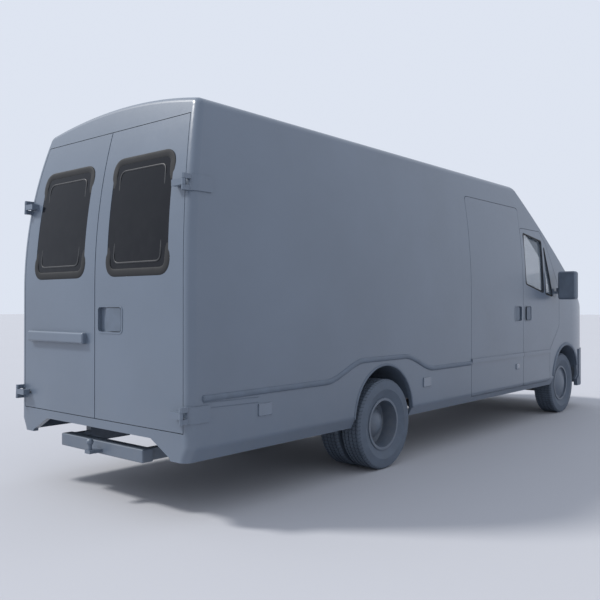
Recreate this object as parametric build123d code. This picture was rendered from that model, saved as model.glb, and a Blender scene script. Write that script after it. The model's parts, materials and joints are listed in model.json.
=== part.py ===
"""Long-wheelbase high-roof delivery van with twin rear wheels.

Frame: X points forward, Y to the vehicle's left, Z up. The origin is on the ground under the middle of
the vehicle. All sizes are millimetres. Side +1 is the left of the vehicle and side -1 the right.
"""
from build123d import *
import math
import os
from functools import cache

# ---- overall size ---------------------------------------------------------------------------------
BODY_WIDTH = 2020.0
WHEELBASE = 4100.0
REAR_OVERHANG = 2130.0
FRONT_OVERHANG = 1020.0
SILL_Z = 390.0
ROOF_EDGE_Z = 2705.0
ROOF_CROWN = 95.0
CROWN_CLEAR = 5.0
BALL_STANDOFF = 62.0
BUMPER_PROUD = 12.0

# ---- body shape -----------------------------------------------------------------------------------
WAIST_Z = 1450.0
SIDE_RADIUS = 6400.0
LEAN_START_Z = 1500.0
LEAN_RADIUS = 4100.0
CORNER_RADIUS = 55.0
SHARP_CORNER = 20.0
ROOF_EDGE_RADIUS = 70.0
SKIRT_TUCK = 45.0
SKIRT_TUCK_HEIGHT = 85.0
SKIRT_RADIUS = 60.0
WALL = 32.0
DOOR_THICKNESS = 40.0
SHUT_GAP = 5.0
SEAT_GAP = 0.3
PORTAL_DEPTH = 100.0
ROOF_SPLIT_Z = 2600.0
MOULDING_Z = 785.0
MOULDING_HEIGHT = 40.0
MOULDING_RISE = 160.0
MOULDING_PROUD = 12.0
FLARE_PROUD = 14.0

# ---- cab and nose, measured from the front axle ---------------------------------------------------
SCREEN_TOP = -1480.0
SCREEN_BASE = 500.0
SCREEN_BASE_Z = 1440.0
BONNET_FRONT = 930.0
BONNET_FRONT_Z = 1225.0
NOSE_TOP_Z = 1120.0
B_PILLAR = -1311.0
WING_START = 200.0
WING_END = 900.0
WING_DROP = 150.0
NOSE_CORNER_RADIUS = 110.0
CAB_DOOR_FRONT = -240.0
CAB_DOOR_TOP_Z = 2235.0
DOOR_BOTTOM_Z = 450.0
SIDE_DOOR_LENGTH = 1250.0
SIDE_DOOR_TOP_Z = 2460.0

# ---- wheels ---------------------------------------------------------------------------------------
TYRE_RADIUS = 373.0
TYRE_WIDTH = 225.0
TWIN_TYRE_WIDTH = 195.0
TWIN_GAP = 30.0
RIM_RADIUS = 203.0
FRONT_TYRE_OUTER_Y = 958.0
REAR_TYRE_OUTER_Y = 1014.0
ARCH_CLEARANCE = 50.0
ARCH_LIFT = 60.0
STUB_RADIUS = 32.0
KINGPIN_RADIUS = 16.0
RUNNING_CLEARANCE = 0.05

# ---- structure under and inside the body ----------------------------------------------------------
RAIL_Y = 440.0
RAIL_WIDTH = 70.0
RAIL_BOTTOM_Z = 500.0
RAIL_HEIGHT = 130.0
FLOOR_Z = 700.0
FLOOR_THICKNESS = 40.0
LINER_WALL = 5.0
LINER_BOTTOM_Z = 545.0
LINER_INNER_Y = 535.0
FRONT_LINER_INNER_Y = 500.0

# ---- rear doors -----------------------------------------------------------------------------------
REAR_DOOR_BOTTOM_Z = 575.0
REAR_DOOR_TOP_Z = 2600.0
REAR_POST_WIDTH = 66.0
REAR_SEAM = 8.0
HINGE_HEIGHTS = (690.0, 2130.0)
HINGE_STANDOFF = 45.0
HINGE_INSET = 30.0
HINGE_HEIGHT = 104.0
HINGE_BARREL_RADIUS = 13.0
HINGE_PIN_RADIUS = 6.0
HINGE_PLATE = 9.0
REAR_WINDOW_BOTTOM_Z = 1575.0
REAR_WINDOW_TOP_Z = 2360.0
REAR_GLASS_DEPTH = 2.0
GLASS = 5.0
GLASS_LEDGE = 28.0

# ---- cab windows ----------------------------------------------------------------------------------
WINDOW_DEPTH = 20.0
WINDOW_CHANNEL = 12.0
WINDOW_PLAY = 1.0
WINDOW_TRAVEL = 520.0

# ---- places worked out from the sizes above -------------------------------------------------------
HALF_WIDTH = BODY_WIDTH / 2
OVERALL_LENGTH = BALL_STANDOFF + REAR_OVERHANG + WHEELBASE + FRONT_OVERHANG + BUMPER_PROUD
REAR_X = BALL_STANDOFF - OVERALL_LENGTH / 2
REAR_AXLE_X = REAR_X + REAR_OVERHANG
FRONT_AXLE_X = REAR_AXLE_X + WHEELBASE
NOSE_X = FRONT_AXLE_X + FRONT_OVERHANG
ROOF_TOP_Z = ROOF_EDGE_Z + ROOF_CROWN
PILLAR_X = FRONT_AXLE_X + B_PILLAR
ARCH_RADIUS = TYRE_RADIUS + ARCH_CLEARANCE
ARCH_Z = TYRE_RADIUS + ARCH_LIFT
RAIL_TOP_Z = RAIL_BOTTOM_Z + RAIL_HEIGHT
REACH = 2 * OVERALL_LENGTH


# ---- small helpers --------------------------------------------------------------------------------
def block(x_low, x_high, y_low, y_high, z_low, z_high):
    """Box between two corners."""
    middle = ((x_low + x_high) / 2, (y_low + y_high) / 2, (z_low + z_high) / 2)
    return Pos(*middle) * Box(x_high - x_low, y_high - y_low, z_high - z_low)


def rounded_block(x_low, x_high, y_low, y_high, z_low, z_high, radius):
    """Box between two corners with every edge rounded."""
    solid = block(x_low, x_high, y_low, y_high, z_low, z_high)
    return fillet(solid.edges(), radius)


def rod(start, end, radius):
    """Round bar between two points."""
    path = Vector(*end) - Vector(*start)
    plane = Plane(origin=start, z_dir=path.normalized())
    return extrude(plane * Circle(radius), amount=path.length)


def mirrored(solid):
    """The same piece on the other side of the vehicle."""
    return mirror(solid, about=Plane.XZ)


def on_side(solid, side):
    """A piece drawn on the left, given for side +1 or -1."""
    return solid if side > 0 else mirrored(solid)


def across(outline):
    """Prism of an XZ outline through the whole width."""
    return extrude(Plane.XZ * outline, amount=REACH, both=True)


def along(outline, x_low=-REACH, x_high=REACH):
    """Prism of a YZ outline between two X stations."""
    plane = Plane(origin=(x_low, 0, 0), x_dir=(0, 1, 0), z_dir=(1, 0, 0))
    return extrude(plane * outline, amount=x_high - x_low)


def left_half():
    """Everything on the left of the centre plane."""
    return block(-REACH, REACH, 0, REACH, -REACH, REACH)


def joined(pieces):
    """One node out of several separate pieces."""
    solids = []
    for piece in pieces:
        solids.extend(piece.solids())
    return Compound(children=solids)


# ---- the three outlines of the body ---------------------------------------------------------------
def lean_at(z):
    """How far the rear face has moved forward at a height."""
    rise = max(0.0, z - LEAN_START_Z)
    return LEAN_RADIUS - math.sqrt(LEAN_RADIUS**2 - rise**2)


def side_y(z):
    """Half width of the outer body at a height."""
    rise = max(0.0, z - WAIST_Z)
    return HALF_WIDTH - SIDE_RADIUS + math.sqrt(SIDE_RADIUS**2 - rise**2)


@cache
def side_outline(depth=0.0):
    """Body seen from the side: tail that leans forward, top just over the crown, raked screen, nose."""
    top_z = ROOF_TOP_Z + CROWN_CLEAR
    middle_z = (LEAN_START_Z + top_z) / 2
    tail_top = (REAR_X + lean_at(top_z), top_z)
    roof_front = (FRONT_AXLE_X + SCREEN_TOP, top_z)
    bonnet_front = (FRONT_AXLE_X + BONNET_FRONT, BONNET_FRONT_Z)
    nose_top = (NOSE_X, NOSE_TOP_Z)
    tail = ThreePointArc((REAR_X, LEAN_START_Z), (REAR_X + lean_at(middle_z), middle_z), tail_top)
    front = Polyline(
        tail_top, roof_front, (FRONT_AXLE_X + SCREEN_BASE, SCREEN_BASE_Z), bonnet_front, nose_top,
        (NOSE_X, 0), (REAR_X, 0), (REAR_X, LEAN_START_Z),
    )
    face = make_face([tail, *front.edges()])
    if depth != 0:
        face = offset(face, amount=-depth, kind=Kind.INTERSECTION)
    for corner, radius in ((roof_front, 700), (bonnet_front, 60), (nose_top, 70)):
        if radius - depth > 5:
            face = fillet(face.vertices().sort_by_distance(corner)[0], radius - depth)
    return face


def circles_meet(centre_a, radius_a, centre_b, radius_b):
    """The crossing of two circles that lies farthest towards the first coordinate's high side."""
    gap_x = centre_b[0] - centre_a[0]
    gap_y = centre_b[1] - centre_a[1]
    gap = math.hypot(gap_x, gap_y)
    along_line = (radius_a**2 - radius_b**2 + gap**2) / (2 * gap)
    off_line = math.sqrt(radius_a**2 - along_line**2)
    foot = (centre_a[0] + along_line * gap_x / gap, centre_a[1] + along_line * gap_y / gap)
    crossings = [
        (foot[0] + turn * off_line * gap_y / gap, foot[1] - turn * off_line * gap_x / gap) for turn in (1, -1)
    ]
    return max(crossings)


def on_circle(centre, radius, start, end):
    """The point of a circle midway between two of its points."""
    middle = Vector((start[0] + end[0]) / 2 - centre[0], (start[1] + end[1]) / 2 - centre[1])
    middle = middle.normalized() * radius
    return centre[0] + middle.X, centre[1] + middle.Y


@cache
def section_outline(depth=0.0):
    """Body seen from behind: tucked-under skirt, upright sides, arched upper sides and crowned roof."""
    half = HALF_WIDTH - depth
    tuck_y = half - SKIRT_TUCK
    tuck_z = SILL_Z + SKIRT_TUCK_HEIGHT
    side_centre = (HALF_WIDTH - SIDE_RADIUS, WAIST_Z)
    edge = side_y(ROOF_EDGE_Z)
    crown_radius = (edge**2 + ROOF_CROWN**2) / (2 * ROOF_CROWN)
    crown_centre = (0.0, ROOF_TOP_Z - crown_radius)
    corner = circles_meet(side_centre, SIDE_RADIUS - depth, crown_centre, crown_radius - depth)
    middle = on_circle(side_centre, SIDE_RADIUS - depth, (half, WAIST_Z), corner)
    lines = []
    for side in (1, -1):
        lines += Polyline(
            (side * tuck_y, 0), (side * tuck_y, SILL_Z), (side * half, tuck_z), (side * half, WAIST_Z)
        ).edges()
        lines.append(
            ThreePointArc((side * half, WAIST_Z), (side * middle[0], middle[1]), (side * corner[0], corner[1]))
        )
    lines.append(ThreePointArc(corner, (0, ROOF_TOP_Z - depth), (-corner[0], corner[1])))
    lines.append(Line((-tuck_y, 0), (tuck_y, 0)))
    face = make_face(lines)
    for place, radius in ((corner, ROOF_EDGE_RADIUS - depth), ((half, tuck_z), SKIRT_RADIUS),
                          ((tuck_y, SILL_Z), SKIRT_RADIUS)):
        corners = [face.vertices().sort_by_distance((side * place[0], place[1]))[0] for side in (1, -1)]
        if radius > 1:
            face = fillet(corners, radius)
    return face


@cache
def plan_outline(depth=0.0):
    """Body seen from above: wings that draw in towards a curved nose, open to the sides behind them."""
    half = HALF_WIDTH - depth
    start = FRONT_AXLE_X + WING_START
    run = WING_END - WING_START
    wing_radius = (run**2 + WING_DROP**2) / (2 * WING_DROP)
    wing_centre = (start, HALF_WIDTH - wing_radius)
    nose_half = HALF_WIDTH - WING_DROP
    nose_run = FRONT_OVERHANG - WING_END
    nose_radius = (nose_half**2 + nose_run**2) / (2 * nose_run)
    nose_centre = (NOSE_X - nose_radius, 0.0)
    corner = circles_meet(wing_centre, wing_radius - depth, nose_centre, nose_radius - depth)
    middle = on_circle(wing_centre, wing_radius - depth, (start, half), corner)
    lines = [ThreePointArc(corner, (NOSE_X - depth, 0), (corner[0], -corner[1]))]
    for side in (1, -1):
        lines.append(
            ThreePointArc((start, side * half), (middle[0], side * middle[1]), (corner[0], side * corner[1]))
        )
    wide = HALF_WIDTH + 300
    tail_x = REAR_X - 300
    lines += Polyline(
        (start, -half), (start, -wide), (tail_x, -wide), (tail_x, wide), (start, wide), (start, half)
    ).edges()
    face = make_face(lines)
    corners = [face.vertices().sort_by_distance((corner[0], side * corner[1]))[0] for side in (1, -1)]
    return fillet(corners, NOSE_CORNER_RADIUS - depth)


def grown(outline, amount):
    """An outline moved outwards by an amount, or inwards when the amount is negative."""
    return outline if amount == 0 else offset(outline, amount=amount, kind=Kind.ARC)


@cache
def hull(depth):
    """Solid body whose skin lies this deep under the outer skin; a negative depth lies outside it."""
    side = across(side_outline(depth))
    section = along(section_outline(depth))
    plan = extrude(plan_outline(depth), amount=REACH)
    solid = (section & plan) & side
    radius = CORNER_RADIUS - depth
    if radius < SHARP_CORNER:
        return solid
    tail_end = REAR_X + lean_at(ROOF_TOP_Z) + depth
    edges = [
        edge
        for edge in solid.edges()
        if edge.center().X < tail_end and edge.bounding_box().size.Z > 3 * CORNER_RADIUS
    ]
    return fillet(edges, radius)


@cache
def skin(outer_depth, inner_depth, z_low=SILL_Z):
    """Body shell between two depths, cut off at the sill or another height."""
    above = block(-REACH, REACH, -REACH, REACH, z_low, REACH)
    return (hull(outer_depth) & above) - hull(inner_depth)


# ---- zones shared by several pieces ---------------------------------------------------------------
@cache
def tail_zone():
    """The strip behind the body sides and roof that the rear portal fills."""
    return across(side_outline()) - Pos(PORTAL_DEPTH, 0, 0) * across(side_outline())


@cache
def rear_opening(gap):
    """Prism of the rear door opening, larger than the doors by a gap."""
    prism = along(section_outline(REAR_POST_WIDTH - gap), REAR_X - 300, REAR_X + 600)
    return prism & block(-REACH, REACH, -REACH, REACH, REAR_DOOR_BOTTOM_Z - gap, REAR_DOOR_TOP_Z + gap)


def wheel_arch(axle_x, growth=0.0):
    """Round arch cut over an axle, through the whole width."""
    return Pos(axle_x, 0, ARCH_Z) * Rot(90, 0, 0) * Cylinder(ARCH_RADIUS + growth, REACH)


def side_door_outline(gap):
    """Sliding door seen from the side, larger than the door by a gap."""
    front = PILLAR_X - SHUT_GAP / 2 + gap
    rear = PILLAR_X - SHUT_GAP / 2 - SIDE_DOOR_LENGTH - gap
    low = DOOR_BOTTOM_Z - gap
    high = SIDE_DOOR_TOP_Z + gap
    face = Pos((front + rear) / 2, (low + high) / 2) * Rectangle(front - rear, high - low)
    return fillet(face.vertices(), 45)


def cab_door_outline(gap):
    """Cab door seen from the side: stepped round the front wheel and raked along the screen pillar."""
    front = FRONT_AXLE_X + CAB_DOOR_FRONT
    face = make_face(
        Polyline(
            (PILLAR_X + SHUT_GAP / 2, DOOR_BOTTOM_Z),
            (front - 300, DOOR_BOTTOM_Z),
            (front - 300, MOULDING_Z + 35),
            (front, MOULDING_Z + 320),
            (front, WAIST_Z + 100),
            (front - 370, CAB_DOOR_TOP_Z - 125),
            (front - 505, CAB_DOOR_TOP_Z),
            (PILLAR_X + SHUT_GAP / 2, CAB_DOOR_TOP_Z),
            (PILLAR_X + SHUT_GAP / 2, DOOR_BOTTOM_Z),
        )
    )
    face = fillet(face.vertices(), 35)
    return grown(face, gap)


@cache
def moulding_band():
    """Side moulding seen from the side: a level strip that rises over the rear wheel."""
    start = REAR_X + 25
    end = FRONT_AXLE_X - 525

    def edge_line(z):
        rise_start = REAR_AXLE_X - ARCH_RADIUS - 30
        rise_end = REAR_AXLE_X + ARCH_RADIUS + 60
        bump = Spline(
            (rise_start, z), (REAR_AXLE_X, z + MOULDING_RISE), (rise_end, z), tangents=((1, 0), (1, 0))
        )
        return [Line((start, z), (rise_start, z)), bump, Line((rise_end, z), (end, z))]

    low = edge_line(MOULDING_Z)
    high = edge_line(MOULDING_Z + MOULDING_HEIGHT)
    tail = Line((start, MOULDING_Z), (start, MOULDING_Z + MOULDING_HEIGHT))
    tip = Line((end, MOULDING_Z), (end, MOULDING_Z + MOULDING_HEIGHT))
    return across(make_face([*low, *high, tail, tip])) & skin(-MOULDING_PROUD, 0.0)


@cache
def flare_band():
    """Front wheel-arch flare seen from the side: a broad lip round the arch."""
    low = MOULDING_Z
    crest = Spline(
        (FRONT_AXLE_X - 525, low + MOULDING_HEIGHT), (FRONT_AXLE_X, low + 290),
        (FRONT_AXLE_X + 525, low + MOULDING_HEIGHT), tangents=((1, 0.15), (1, -0.15)),
    )
    base = Polyline(
        (FRONT_AXLE_X + 525, low + MOULDING_HEIGHT), (FRONT_AXLE_X + 525, low),
        (FRONT_AXLE_X - 525, low), (FRONT_AXLE_X - 525, low + MOULDING_HEIGHT),
    )
    face = make_face([crest, *base.edges()])
    return (across(face) & skin(-FLARE_PROUD, 0.0)) - wheel_arch(FRONT_AXLE_X)


# ---- rear end -------------------------------------------------------------------------------------
def rear_portal():
    """Rear frame: corner posts, header and the lower panel with its sloped cut-out."""
    frame = (skin(0.0, DOOR_THICKNESS) & tail_zone()) - rear_opening(SHUT_GAP)
    cutout = Polyline(
        (-HALF_WIDTH + 190, 0), (HALF_WIDTH - 190, 0), (HALF_WIDTH - 190, SILL_Z + 15),
        (HALF_WIDTH - 385, SILL_Z + 120), (385 - HALF_WIDTH, SILL_Z + 120),
        (190 - HALF_WIDTH, SILL_Z + 15), (-HALF_WIDTH + 190, 0),
    )
    return frame - along(make_face(cutout), REAR_X - 300, REAR_X + 600)


def rear_window_outline():
    """Left rear window seen from behind: four sides that close in towards the roof."""
    outline = make_face(
        Polyline(
            (144, REAR_WINDOW_BOTTOM_Z), (HALF_WIDTH - 212, REAR_WINDOW_BOTTOM_Z),
            (HALF_WIDTH - 247, REAR_WINDOW_TOP_Z), (130, REAR_WINDOW_TOP_Z), (144, REAR_WINDOW_BOTTOM_Z),
        )
    )
    return fillet(outline.vertices(), 60)


def rear_window():
    """Left rear window pane, bonded on its ledge just under the door skin."""
    prism = along(rear_window_outline(), REAR_X - 300, REAR_X + 600)
    return skin(REAR_GLASS_DEPTH, REAR_GLASS_DEPTH + GLASS) & prism


def rear_door():
    """Left rear door panel with the rebate and the hole for its window."""
    seam = block(-REACH, REACH, REAR_SEAM / 2, REACH, -REACH, REACH)
    door = skin(0.0, DOOR_THICKNESS) & rear_opening(0.0) & seam
    outline = rear_window_outline()
    rebate = along(grown(outline, 2.0), REAR_X - 300, REAR_X + 600) - hull(REAR_GLASS_DEPTH + GLASS)
    hole = along(grown(outline, -GLASS_LEDGE), REAR_X - 300, REAR_X + 600)
    return door - rebate - hole


def hinge_point(z):
    """Centre of a left rear door hinge pin at a height."""
    return Vector(REAR_X + lean_at(z) - HINGE_STANDOFF, side_y(z) - HINGE_INSET, z)


def hinge_axis():
    """Direction of the left rear door's hinge line, from the lower pin to the upper one."""
    return (hinge_point(HINGE_HEIGHTS[1]) - hinge_point(HINGE_HEIGHTS[0])).normalized()


def hinge_barrel(z, low, high, radius):
    """Round bar on the left hinge line between two heights measured from a hinge's middle."""
    centre = hinge_point(z)
    axis = hinge_axis()
    return rod(tuple(centre + axis * low), tuple(centre + axis * high), radius)


def hinge_bracket(z):
    """Body half of a hinge: a plate that wraps the corner and carries two knuckles, and its pin."""
    pin = hinge_point(z)
    half = HINGE_HEIGHT / 2
    middle = half * 0.4
    plate = block(
        REAR_X - 60, REAR_X + lean_at(z) + 165, side_y(z) - 44, REACH, z - half, z + half
    )
    plate = fillet(plate.edges().filter_by(Axis.Y), 18)
    bracket = skin(-HINGE_PLATE, 0.0) & plate
    for low, high in ((middle + 0.5, half), (-half, -middle - 0.5)):
        bracket += hinge_barrel(z, low, high, HINGE_BARREL_RADIUS)
        arm = block(pin.X - 8, REAR_X + 400, pin.Y - 12, pin.Y + 12, z + low, z + high)
        bracket += arm & skin(-HINGE_STANDOFF - 20, 0.0)
    hole = hinge_barrel(z, -half, half, HINGE_PIN_RADIUS)
    return bracket - hole, hole


def hinge_strap(z):
    """Door half of a hinge: one knuckle, an arm over the corner plate and a plate on the door skin."""
    pin = hinge_point(z)
    half = HINGE_HEIGHT * 0.2 - 1.0
    door_edge = side_y(z) - REAR_POST_WIDTH
    strap = block(pin.X - 10, pin.X + 10, door_edge - 70, pin.Y, z - half, z + half)
    strap += block(pin.X - 10, REAR_X + 400, door_edge - 70, door_edge - 8, z - half, z + half)
    strap = strap & skin(-HINGE_STANDOFF - 20, 0.0)
    strap += hinge_barrel(z, -half, half, HINGE_BARREL_RADIUS)
    return strap - hinge_barrel(z, -half - 5, half + 5, HINGE_PIN_RADIUS + RUNNING_CLEARANCE)


def plate_lamp_bar():
    """Number-plate lamp housing and grab bar on the left rear door."""
    bar = block(REAR_X - 38, REAR_X, 100, HALF_WIDTH - 160, 1090, 1170)
    outer = bar.edges().filter_by(Axis.Y).group_by(Axis.X)[0]
    bar = fillet(outer, 16)
    return fillet(bar.faces().sort_by(Axis.X)[0].edges().filter_by(Axis.Z), 12)


# ---- pull handles ---------------------------------------------------------------------------------
HANDLE_DEPTH = 26.0
HANDLE_PIN_RADIUS = 3.5
HANDLE_PIN_SETBACK = 15.0
HANDLE_BEZEL = 12.0
HANDLE_BEZEL_PROUD = 3.0
HANDLE_CORNER = 26.0


def handle_pin(width):
    """Place of a handle's pin in its own frame, whose Z points out of the panel."""
    return width / 2 - HANDLE_PIN_SETBACK, -13.0


def handle_cup(panel, place, width, height):
    """A panel with the recessed cup, raised border and fixed pin of a pull handle added."""
    pin_x, pin_z = handle_pin(width)
    cup = fillet(Rectangle(width, height).vertices(), HANDLE_CORNER)
    border = grown(cup, HANDLE_BEZEL)
    panel += place * extrude(border, amount=HANDLE_BEZEL_PROUD)
    panel -= place * (Pos(0, 0, -HANDLE_DEPTH) * extrude(cup, amount=HANDLE_DEPTH + 20))
    return panel + place * rod((pin_x, -height / 2, pin_z), (pin_x, height / 2, pin_z), HANDLE_PIN_RADIUS)


def handle_paddle(place, width, height):
    """The pull paddle of a handle: a thin plate whose barrel turns on the cup's pin."""
    pin_x, pin_z = handle_pin(width)
    free_x = -width * 0.18
    length = pin_x + 6 - free_x
    plate = fillet(Rectangle(length, height - 12).vertices(), 20)
    paddle = Pos(free_x + length / 2, 0, -7) * extrude(plate, amount=6)
    reach = height / 2 - 24
    paddle += rod((pin_x, -reach, pin_z), (pin_x, reach, pin_z), 7)
    return place * (paddle - rod((pin_x, -height, pin_z), (pin_x, height, pin_z),
                                 HANDLE_PIN_RADIUS + RUNNING_CLEARANCE))


REAR_HANDLE_SIZE = (270.0, 170.0)
SIDE_HANDLE_SIZE = (170.0, 160.0)
HANDLE_Z = 1267.0


def rear_handle_place():
    """Frame of the rear handle, on the right door beside the seam; its pin is on the outer side."""
    return Plane(origin=(REAR_X, -178, HANDLE_Z), x_dir=(0, -1, 0), z_dir=(-1, 0, 0))


def side_handle_place(direction):
    """Frame of a right-hand side handle, ahead (+1) or behind (-1) the door seam."""
    centre = PILLAR_X + direction * (SIDE_HANDLE_SIZE[0] / 2 + 45)
    return Plane(origin=(centre, -HALF_WIDTH, HANDLE_Z), x_dir=(direction, 0, 0), z_dir=(0, -1, 0))


# ---- body panels ----------------------------------------------------------------------------------
def panel_zone(z_low, z_high):
    """The shell between the rear portal and the cab, between two heights."""
    return (skin(0.0, WALL) & block(-REACH, PILLAR_X, -REACH, REACH, z_low, z_high)) - tail_zone()


def door_frame_ring(outline, inner_depth):
    """Inner flange round an opening that a closed door seats against."""
    ring = across(grown(outline, 30)) - across(grown(outline, -18))
    ring = ring & skin(WALL - 2, inner_depth)
    return ring - (across(grown(outline, SHUT_GAP)) - hull(DOOR_THICKNESS + SEAT_GAP))


def body_side(side):
    """Cargo body side above the moulding, with the sliding door's opening on the right."""
    panel = (panel_zone(MOULDING_Z, ROOF_SPLIT_Z) & left_half()) - wheel_arch(REAR_AXLE_X)
    if side > 0:
        return panel
    outline = side_door_outline(0.0)
    upper = block(-REACH, PILLAR_X - 112, 0, REACH, MOULDING_Z, ROOF_SPLIT_Z)
    panel = (panel - across(side_door_outline(SHUT_GAP))) + (door_frame_ring(outline, 52.0) & upper)
    return mirrored(panel)


def roof_panel():
    """Crowned roof from the rear portal to the cab."""
    return panel_zone(ROOF_SPLIT_Z, REACH)


def cladding(side):
    """Lower side cladding between the rear portal and the cab, with the sliding door's opening."""
    panel = (panel_zone(SILL_Z, MOULDING_Z) & left_half()) - wheel_arch(REAR_AXLE_X)
    if side < 0:
        panel = panel - across(side_door_outline(SHUT_GAP))
    return on_side(panel, side)


def side_moulding(side):
    """Moulding strip that stays on the body, without the stretches carried by the doors."""
    strip = moulding_band() & left_half()
    strip = strip - across(cab_door_outline(SHUT_GAP))
    if side < 0:
        strip = strip - across(side_door_outline(SHUT_GAP))
    flare = (flare_band() & left_half()) - across(cab_door_outline(SHUT_GAP))
    return [on_side(strip, side), on_side(flare, side)]


def side_door():
    """Right sliding door with its stretch of moulding and the cup of its handle."""
    outline = across(side_door_outline(0.0))
    door = skin(0.0, DOOR_THICKNESS) & outline & left_half()
    door += moulding_band() & outline & left_half()
    return handle_cup(mirrored(door), side_handle_place(-1), *SIDE_HANDLE_SIZE)


def screen_outline(margin):
    """Windscreen seen from the front, larger than the glass by a margin."""
    top = 770 + margin
    base = HALF_WIDTH - 160 + margin
    low = SCREEN_BASE_Z + 60 - margin
    high = ROOF_SPLIT_Z - 60 + margin
    face = make_face(Polyline((-base, low), (base, low), (top, high), (-top, high), (-base, low)))
    return fillet(face.vertices(), 70 + margin)


def screen_prism(margin):
    """The windscreen's place in the raked front."""
    return along(screen_outline(margin), FRONT_AXLE_X - 1300, FRONT_AXLE_X + SCREEN_BASE - 20)


def bonnet_zone(gap):
    """The bonnet's place between the wings, ahead of the screen."""
    return block(
        FRONT_AXLE_X + SCREEN_BASE + 60 - gap, FRONT_AXLE_X + BONNET_FRONT + 50 + gap,
        -HALF_WIDTH + 270 - gap, HALF_WIDTH - 270 + gap, NOSE_TOP_Z + 20 - gap, REACH,
    )


def lamp_zone(gap):
    """Left headlamp's place in the nose."""
    face = make_face(Polyline((560, 850), (HALF_WIDTH - 130, 900), (HALF_WIDTH - 115, 1090), (560, 1050),
                              (560, 850)))
    return along(grown(fillet(face.vertices(), 30), gap), FRONT_AXLE_X + 600, NOSE_X + 50)


def grille_zone(gap):
    """Grille's place in the nose."""
    return block(FRONT_AXLE_X + 800, NOSE_X + 50, -480 - gap, 480 + gap, 830 - gap, 1060 + gap)


def bumper_zone(gap):
    """Front bumper's place under the lamps and ahead of the wheels."""
    return block(FRONT_AXLE_X + 480 - gap, NOSE_X + 50, -REACH, REACH, 0, 780 + gap)


def cab_shell():
    """Cab front body: sills, wings, screen pillars, cowl and nose panel in one pressing."""
    shell = skin(0.0, WALL) & block(PILLAR_X, REACH, -REACH, REACH, SILL_Z, REACH)
    shell = shell - across(cab_door_outline(SHUT_GAP)) - wheel_arch(FRONT_AXLE_X)
    shell = shell - (screen_prism(2.0) - hull(REAR_GLASS_DEPTH + GLASS)) - screen_prism(-GLASS_LEDGE)
    ledge = skin(WALL - 2, WALL + 20) & (bonnet_zone(25.0) - bonnet_zone(-20.0))
    shell = (shell - bonnet_zone(SHUT_GAP)) + (ledge - (bonnet_zone(SHUT_GAP) - hull(WALL + SEAT_GAP)))
    shell = shell - lamp_zone(SEAT_GAP) - mirrored(lamp_zone(SEAT_GAP)) - grille_zone(SEAT_GAP)
    return shell - bumper_zone(0.0)


def windscreen():
    """Bonded windscreen pane."""
    return skin(REAR_GLASS_DEPTH, REAR_GLASS_DEPTH + GLASS) & screen_prism(0.0)


def bonnet():
    """Engine cover between the wings."""
    return skin(0.0, WALL) & bonnet_zone(0.0)


def headlamp():
    """Left headlamp body."""
    return skin(1.0, 60.0) & lamp_zone(0.0)


def grille():
    """Grille panel with level slots."""
    panel = skin(2.0, 40.0) & grille_zone(0.0)
    for row in range(4):
        low = 862 + row * 50
        panel = panel - block(NOSE_X - 200, NOSE_X + 50, -430, 430, low, low + 26)
    return panel


def front_bumper():
    """Front bumper skin that wraps round to the wheel arches, with an air slot and a towing-eye hole."""
    bumper = skin(-MOULDING_PROUD, WALL, 300.0) & bumper_zone(0.0)
    bumper = bumper - wheel_arch(FRONT_AXLE_X)
    bumper = bumper - block(NOSE_X - 120, NOSE_X + 50, -420, 420, 400, 500)
    return bumper - rod((NOSE_X - 200, TOW_EYE_Y, TOW_EYE_Z), (NOSE_X + 50, TOW_EYE_Y, TOW_EYE_Z), 24)


TOW_EYE_Y = -560.0
TOW_EYE_Z = 565.0
TOW_EYE_RADIUS = 10.0
TOW_EYE_LENGTH = 60.0


# ---- cab doors ------------------------------------------------------------------------------------
def side_cylinder(depth_low, depth_high):
    """Curved sheet that follows the left side's arch between two depths, above and below the waist."""
    centre_y = HALF_WIDTH - SIDE_RADIUS
    turn = Pos(0, centre_y, WAIST_Z) * Rot(0, 90, 0)
    sheet = turn * Cylinder(SIDE_RADIUS - depth_low, REACH) - turn * Cylinder(SIDE_RADIUS - depth_high, REACH)
    return sheet & left_half()


def window_corners(margin):
    """Cab window seen from the side: level top, belt line that dips forward, upright divider."""
    rear = PILLAR_X + 72 - margin
    front = FRONT_AXLE_X - 715 + margin
    return (
        (rear, 1596 - margin), (front, 1500 - margin), (front, 2130 + margin), (rear, 2192 + margin)
    )


def quarter_corners(margin):
    """Fixed quarter window ahead of the divider."""
    rear = FRONT_AXLE_X - 665 - margin
    return (rear, 1492 - margin), (FRONT_AXLE_X - 440 + margin, 1466 - margin), (rear, 2085 + margin)


def cab_window():
    """Left sliding window pane, with its edges in the door's channel."""
    face = make_face(Polyline(*window_corners(WINDOW_CHANNEL), window_corners(WINDOW_CHANNEL)[0]))
    return side_cylinder(WINDOW_DEPTH, WINDOW_DEPTH + GLASS) & across(fillet(face.vertices(), 8))


def quarter_window():
    """Left fixed quarter window pane."""
    face = make_face(Polyline(*quarter_corners(10.0), quarter_corners(10.0)[0]))
    return side_cylinder(WINDOW_DEPTH, WINDOW_DEPTH + GLASS) & across(face)


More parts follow.
